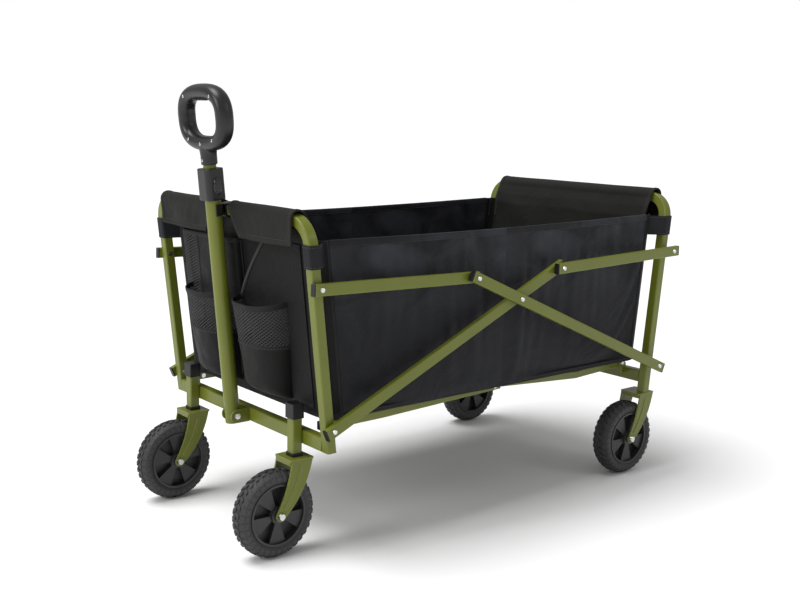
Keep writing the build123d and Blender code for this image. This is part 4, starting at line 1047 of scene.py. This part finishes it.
for end, way in (("front", -1), ("rear", 1)):
    profile = flap_profile(FLAP_HEM, 0.505 if way < 0 else 0.470, FLAP_ROWS)
    halves = ((-1, 1) if way < 0 else (0,))
    pieces, trims = [], []
    for half in halves:
        columns = 61 if half else 121
        table = np.zeros((FLAP_ROWS, columns, 3))
        for r, (out, z) in enumerate(profile):
            if half:
                down = min(max((RAIL_Z + FLAP_R - z) / (RAIL_Z + FLAP_R - FLAP_HEM), 0), 1)
                notch = NOTCH_TOP + (NOTCH_HEM - NOTCH_TOP) * down ** 1.2
                if out < 0:
                    notch = NOTCH_TOP * max(0, 1 - down * 3.0)
                ys = np.linspace(half * notch, half * FLAP_HALF, columns)
            else:
                ys = np.linspace(-FLAP_HALF, FLAP_HALF, columns)
            for c, y in enumerate(ys):
                angle = math.atan2(z - RAIL_Z, out) if z > RAIL_Z else (0 if out > 0 else math.pi)
                loose = min(1, max(0, (RAIL_Z + 0.008 - z) / 0.03))
                wave = 0.0050 * loose * noise.noise(Vector((y * 13, z * 10 + way, out * 30)))
                puff = 0.0014 * (0.5 + 0.5 * noise.noise(Vector((y * 10, z * 30, way * 3.0))))
                shift = wave + puff
                dx, dz = math.cos(angle) * shift, math.sin(angle) * shift
                drop = 0.0025 * math.sin(math.pi * (abs(y) / FLAP_HALF)) * loose
                table[r, c] = (end_x(way, z, out + dx), y, z + dz - drop)
        leaf = thicken(grid_sheet(f"{end}_flap_cloth", table, flap_cloth), FLAP_T)
        climb = unit(np.gradient(table[:, columns // 2], axis=0))
        face = np.cross((0, 1, 0), climb) * way
        for c in (0, columns - 1):
            shown = slice(0, int(FLAP_ROWS * (0.62 if half and c == 0 else 0.72)))
            inward = (table[:, columns // 2, 1] - table[:, c, 1])[:, None] * [0, 1, 0]
            inward = np.sign(inward) * 0.0030
            trims.append(strip("bind", (table[:, c] + inward)[shown], face[shown], 0.0042,
                               0.0021, flap_tape))
            trims.append(stitch_row("stitches", (table[:, c] + inward * 2.1
                                                 + face * 0.0014)[shown], face[shown], thread))
        trims.append(strip("hem", table[0] + [0, 0, 0.0030], (way, 0, 0), 0.0044, 0.0021,
                           flap_tape))
        for r, sign, lift in ((0, 1, 0.0085), (FLAP_ROWS - 1, -1, 0.004)):
            trims.append(stitch_row("stitches", table[r] + [way * sign * 0.0014, 0, lift],
                                    (way * sign, 0, 0), thread))
        pieces.append(leaf)
    flap = add_parts(pieces[0], *pieces[1:], *trims)
    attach(flap, f"{end}_frame")
    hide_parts(f"{end}_flap")


# --- Post loops --------------------------------------------------------------
# A band of polyester webbing is sewn to each top corner of the fabric, passed
# round the post and stitched back on itself.

LOOP_LOW, LOOP_HIGH, POST_Y, POST_HALF = 0.542, 0.584, 0.268, 0.0100
WEBBING_T, LOOP_POINTS = 0.0018, 81
webbing = woven("post_webbing", (0.008, 0.008, 0.0095), (0.024, 0.025, 0.029), 0.60,
                threads=520.0, bump=0.9, crease=0.001)


def belt(anchor, clearance):
    """The line of a band pulled tight round a square post and a point beside it."""
    corner = 0.003
    around = [(sx * (POST_HALF - corner) + (corner + clearance) * math.cos(t),
               sy * (POST_HALF - corner) + (corner + clearance) * math.sin(t))
              for sx in (-1, 1) for sy in (-1, 1)
              for t in circle(24)]
    around += [(anchor[0] + 0.0012 * math.cos(t), anchor[1] + 0.0012 * math.sin(t))
               for t in circle(12)]
    around = sorted(around)

    def half_hull(places):
        hull = []
        for p in places:
            while len(hull) > 1 and ((hull[-1][0] - hull[-2][0]) * (p[1] - hull[-2][1])
                                     - (hull[-1][1] - hull[-2][1]) * (p[0] - hull[-2][0])) <= 0:
                hull.pop()
            hull.append(p)
        return hull[:-1]

    hull = np.array(half_hull(around) + half_hull(around[::-1]))
    loop = np.concatenate([hull, hull[:1]])
    return respaced(loop, LOOP_POINTS)[:-1]


for end, way in (("front", -1), ("rear", 1)):
    bands = []
    for flank, side in side_normals.items():
        rear_corner = (-way * (WALL_INSET + CORNER_R * 0.62), -side * (POST_Y - WALL_Y + 0.004))
        line = belt(rear_corner, 0.0016)
        rows = np.linspace(LOOP_LOW, LOOP_HIGH, 13)
        table = np.zeros((len(rows), len(line) + 1, 3))
        ring = np.concatenate([line, line[:1]])
        for r, z in enumerate(rows):
            table[r, :, 0] = end_x(way, z) + ring[:, 0]
            table[r, :, 1] = side * POST_Y + ring[:, 1]
            table[r, :, 2] = z
        band = grid_sheet("band", table, webbing)
        weld = band.modifiers.new("weld", "WELD")
        weld.merge_threshold = 1e-6
        bands.append(thicken(settle(band), WEBBING_T))
        for z_row in (1, -2):
            out = level_out(table[z_row])
            bands.append(stitch_row("stitches", table[z_row] + out * 0.0010, out, thread))
    loops = add_parts(bands[0], *bands[1:])
    loops.name = f"{end}_post_bands"
    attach(loops, f"{end}_frame")
    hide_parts(f"{end}_post_loops")
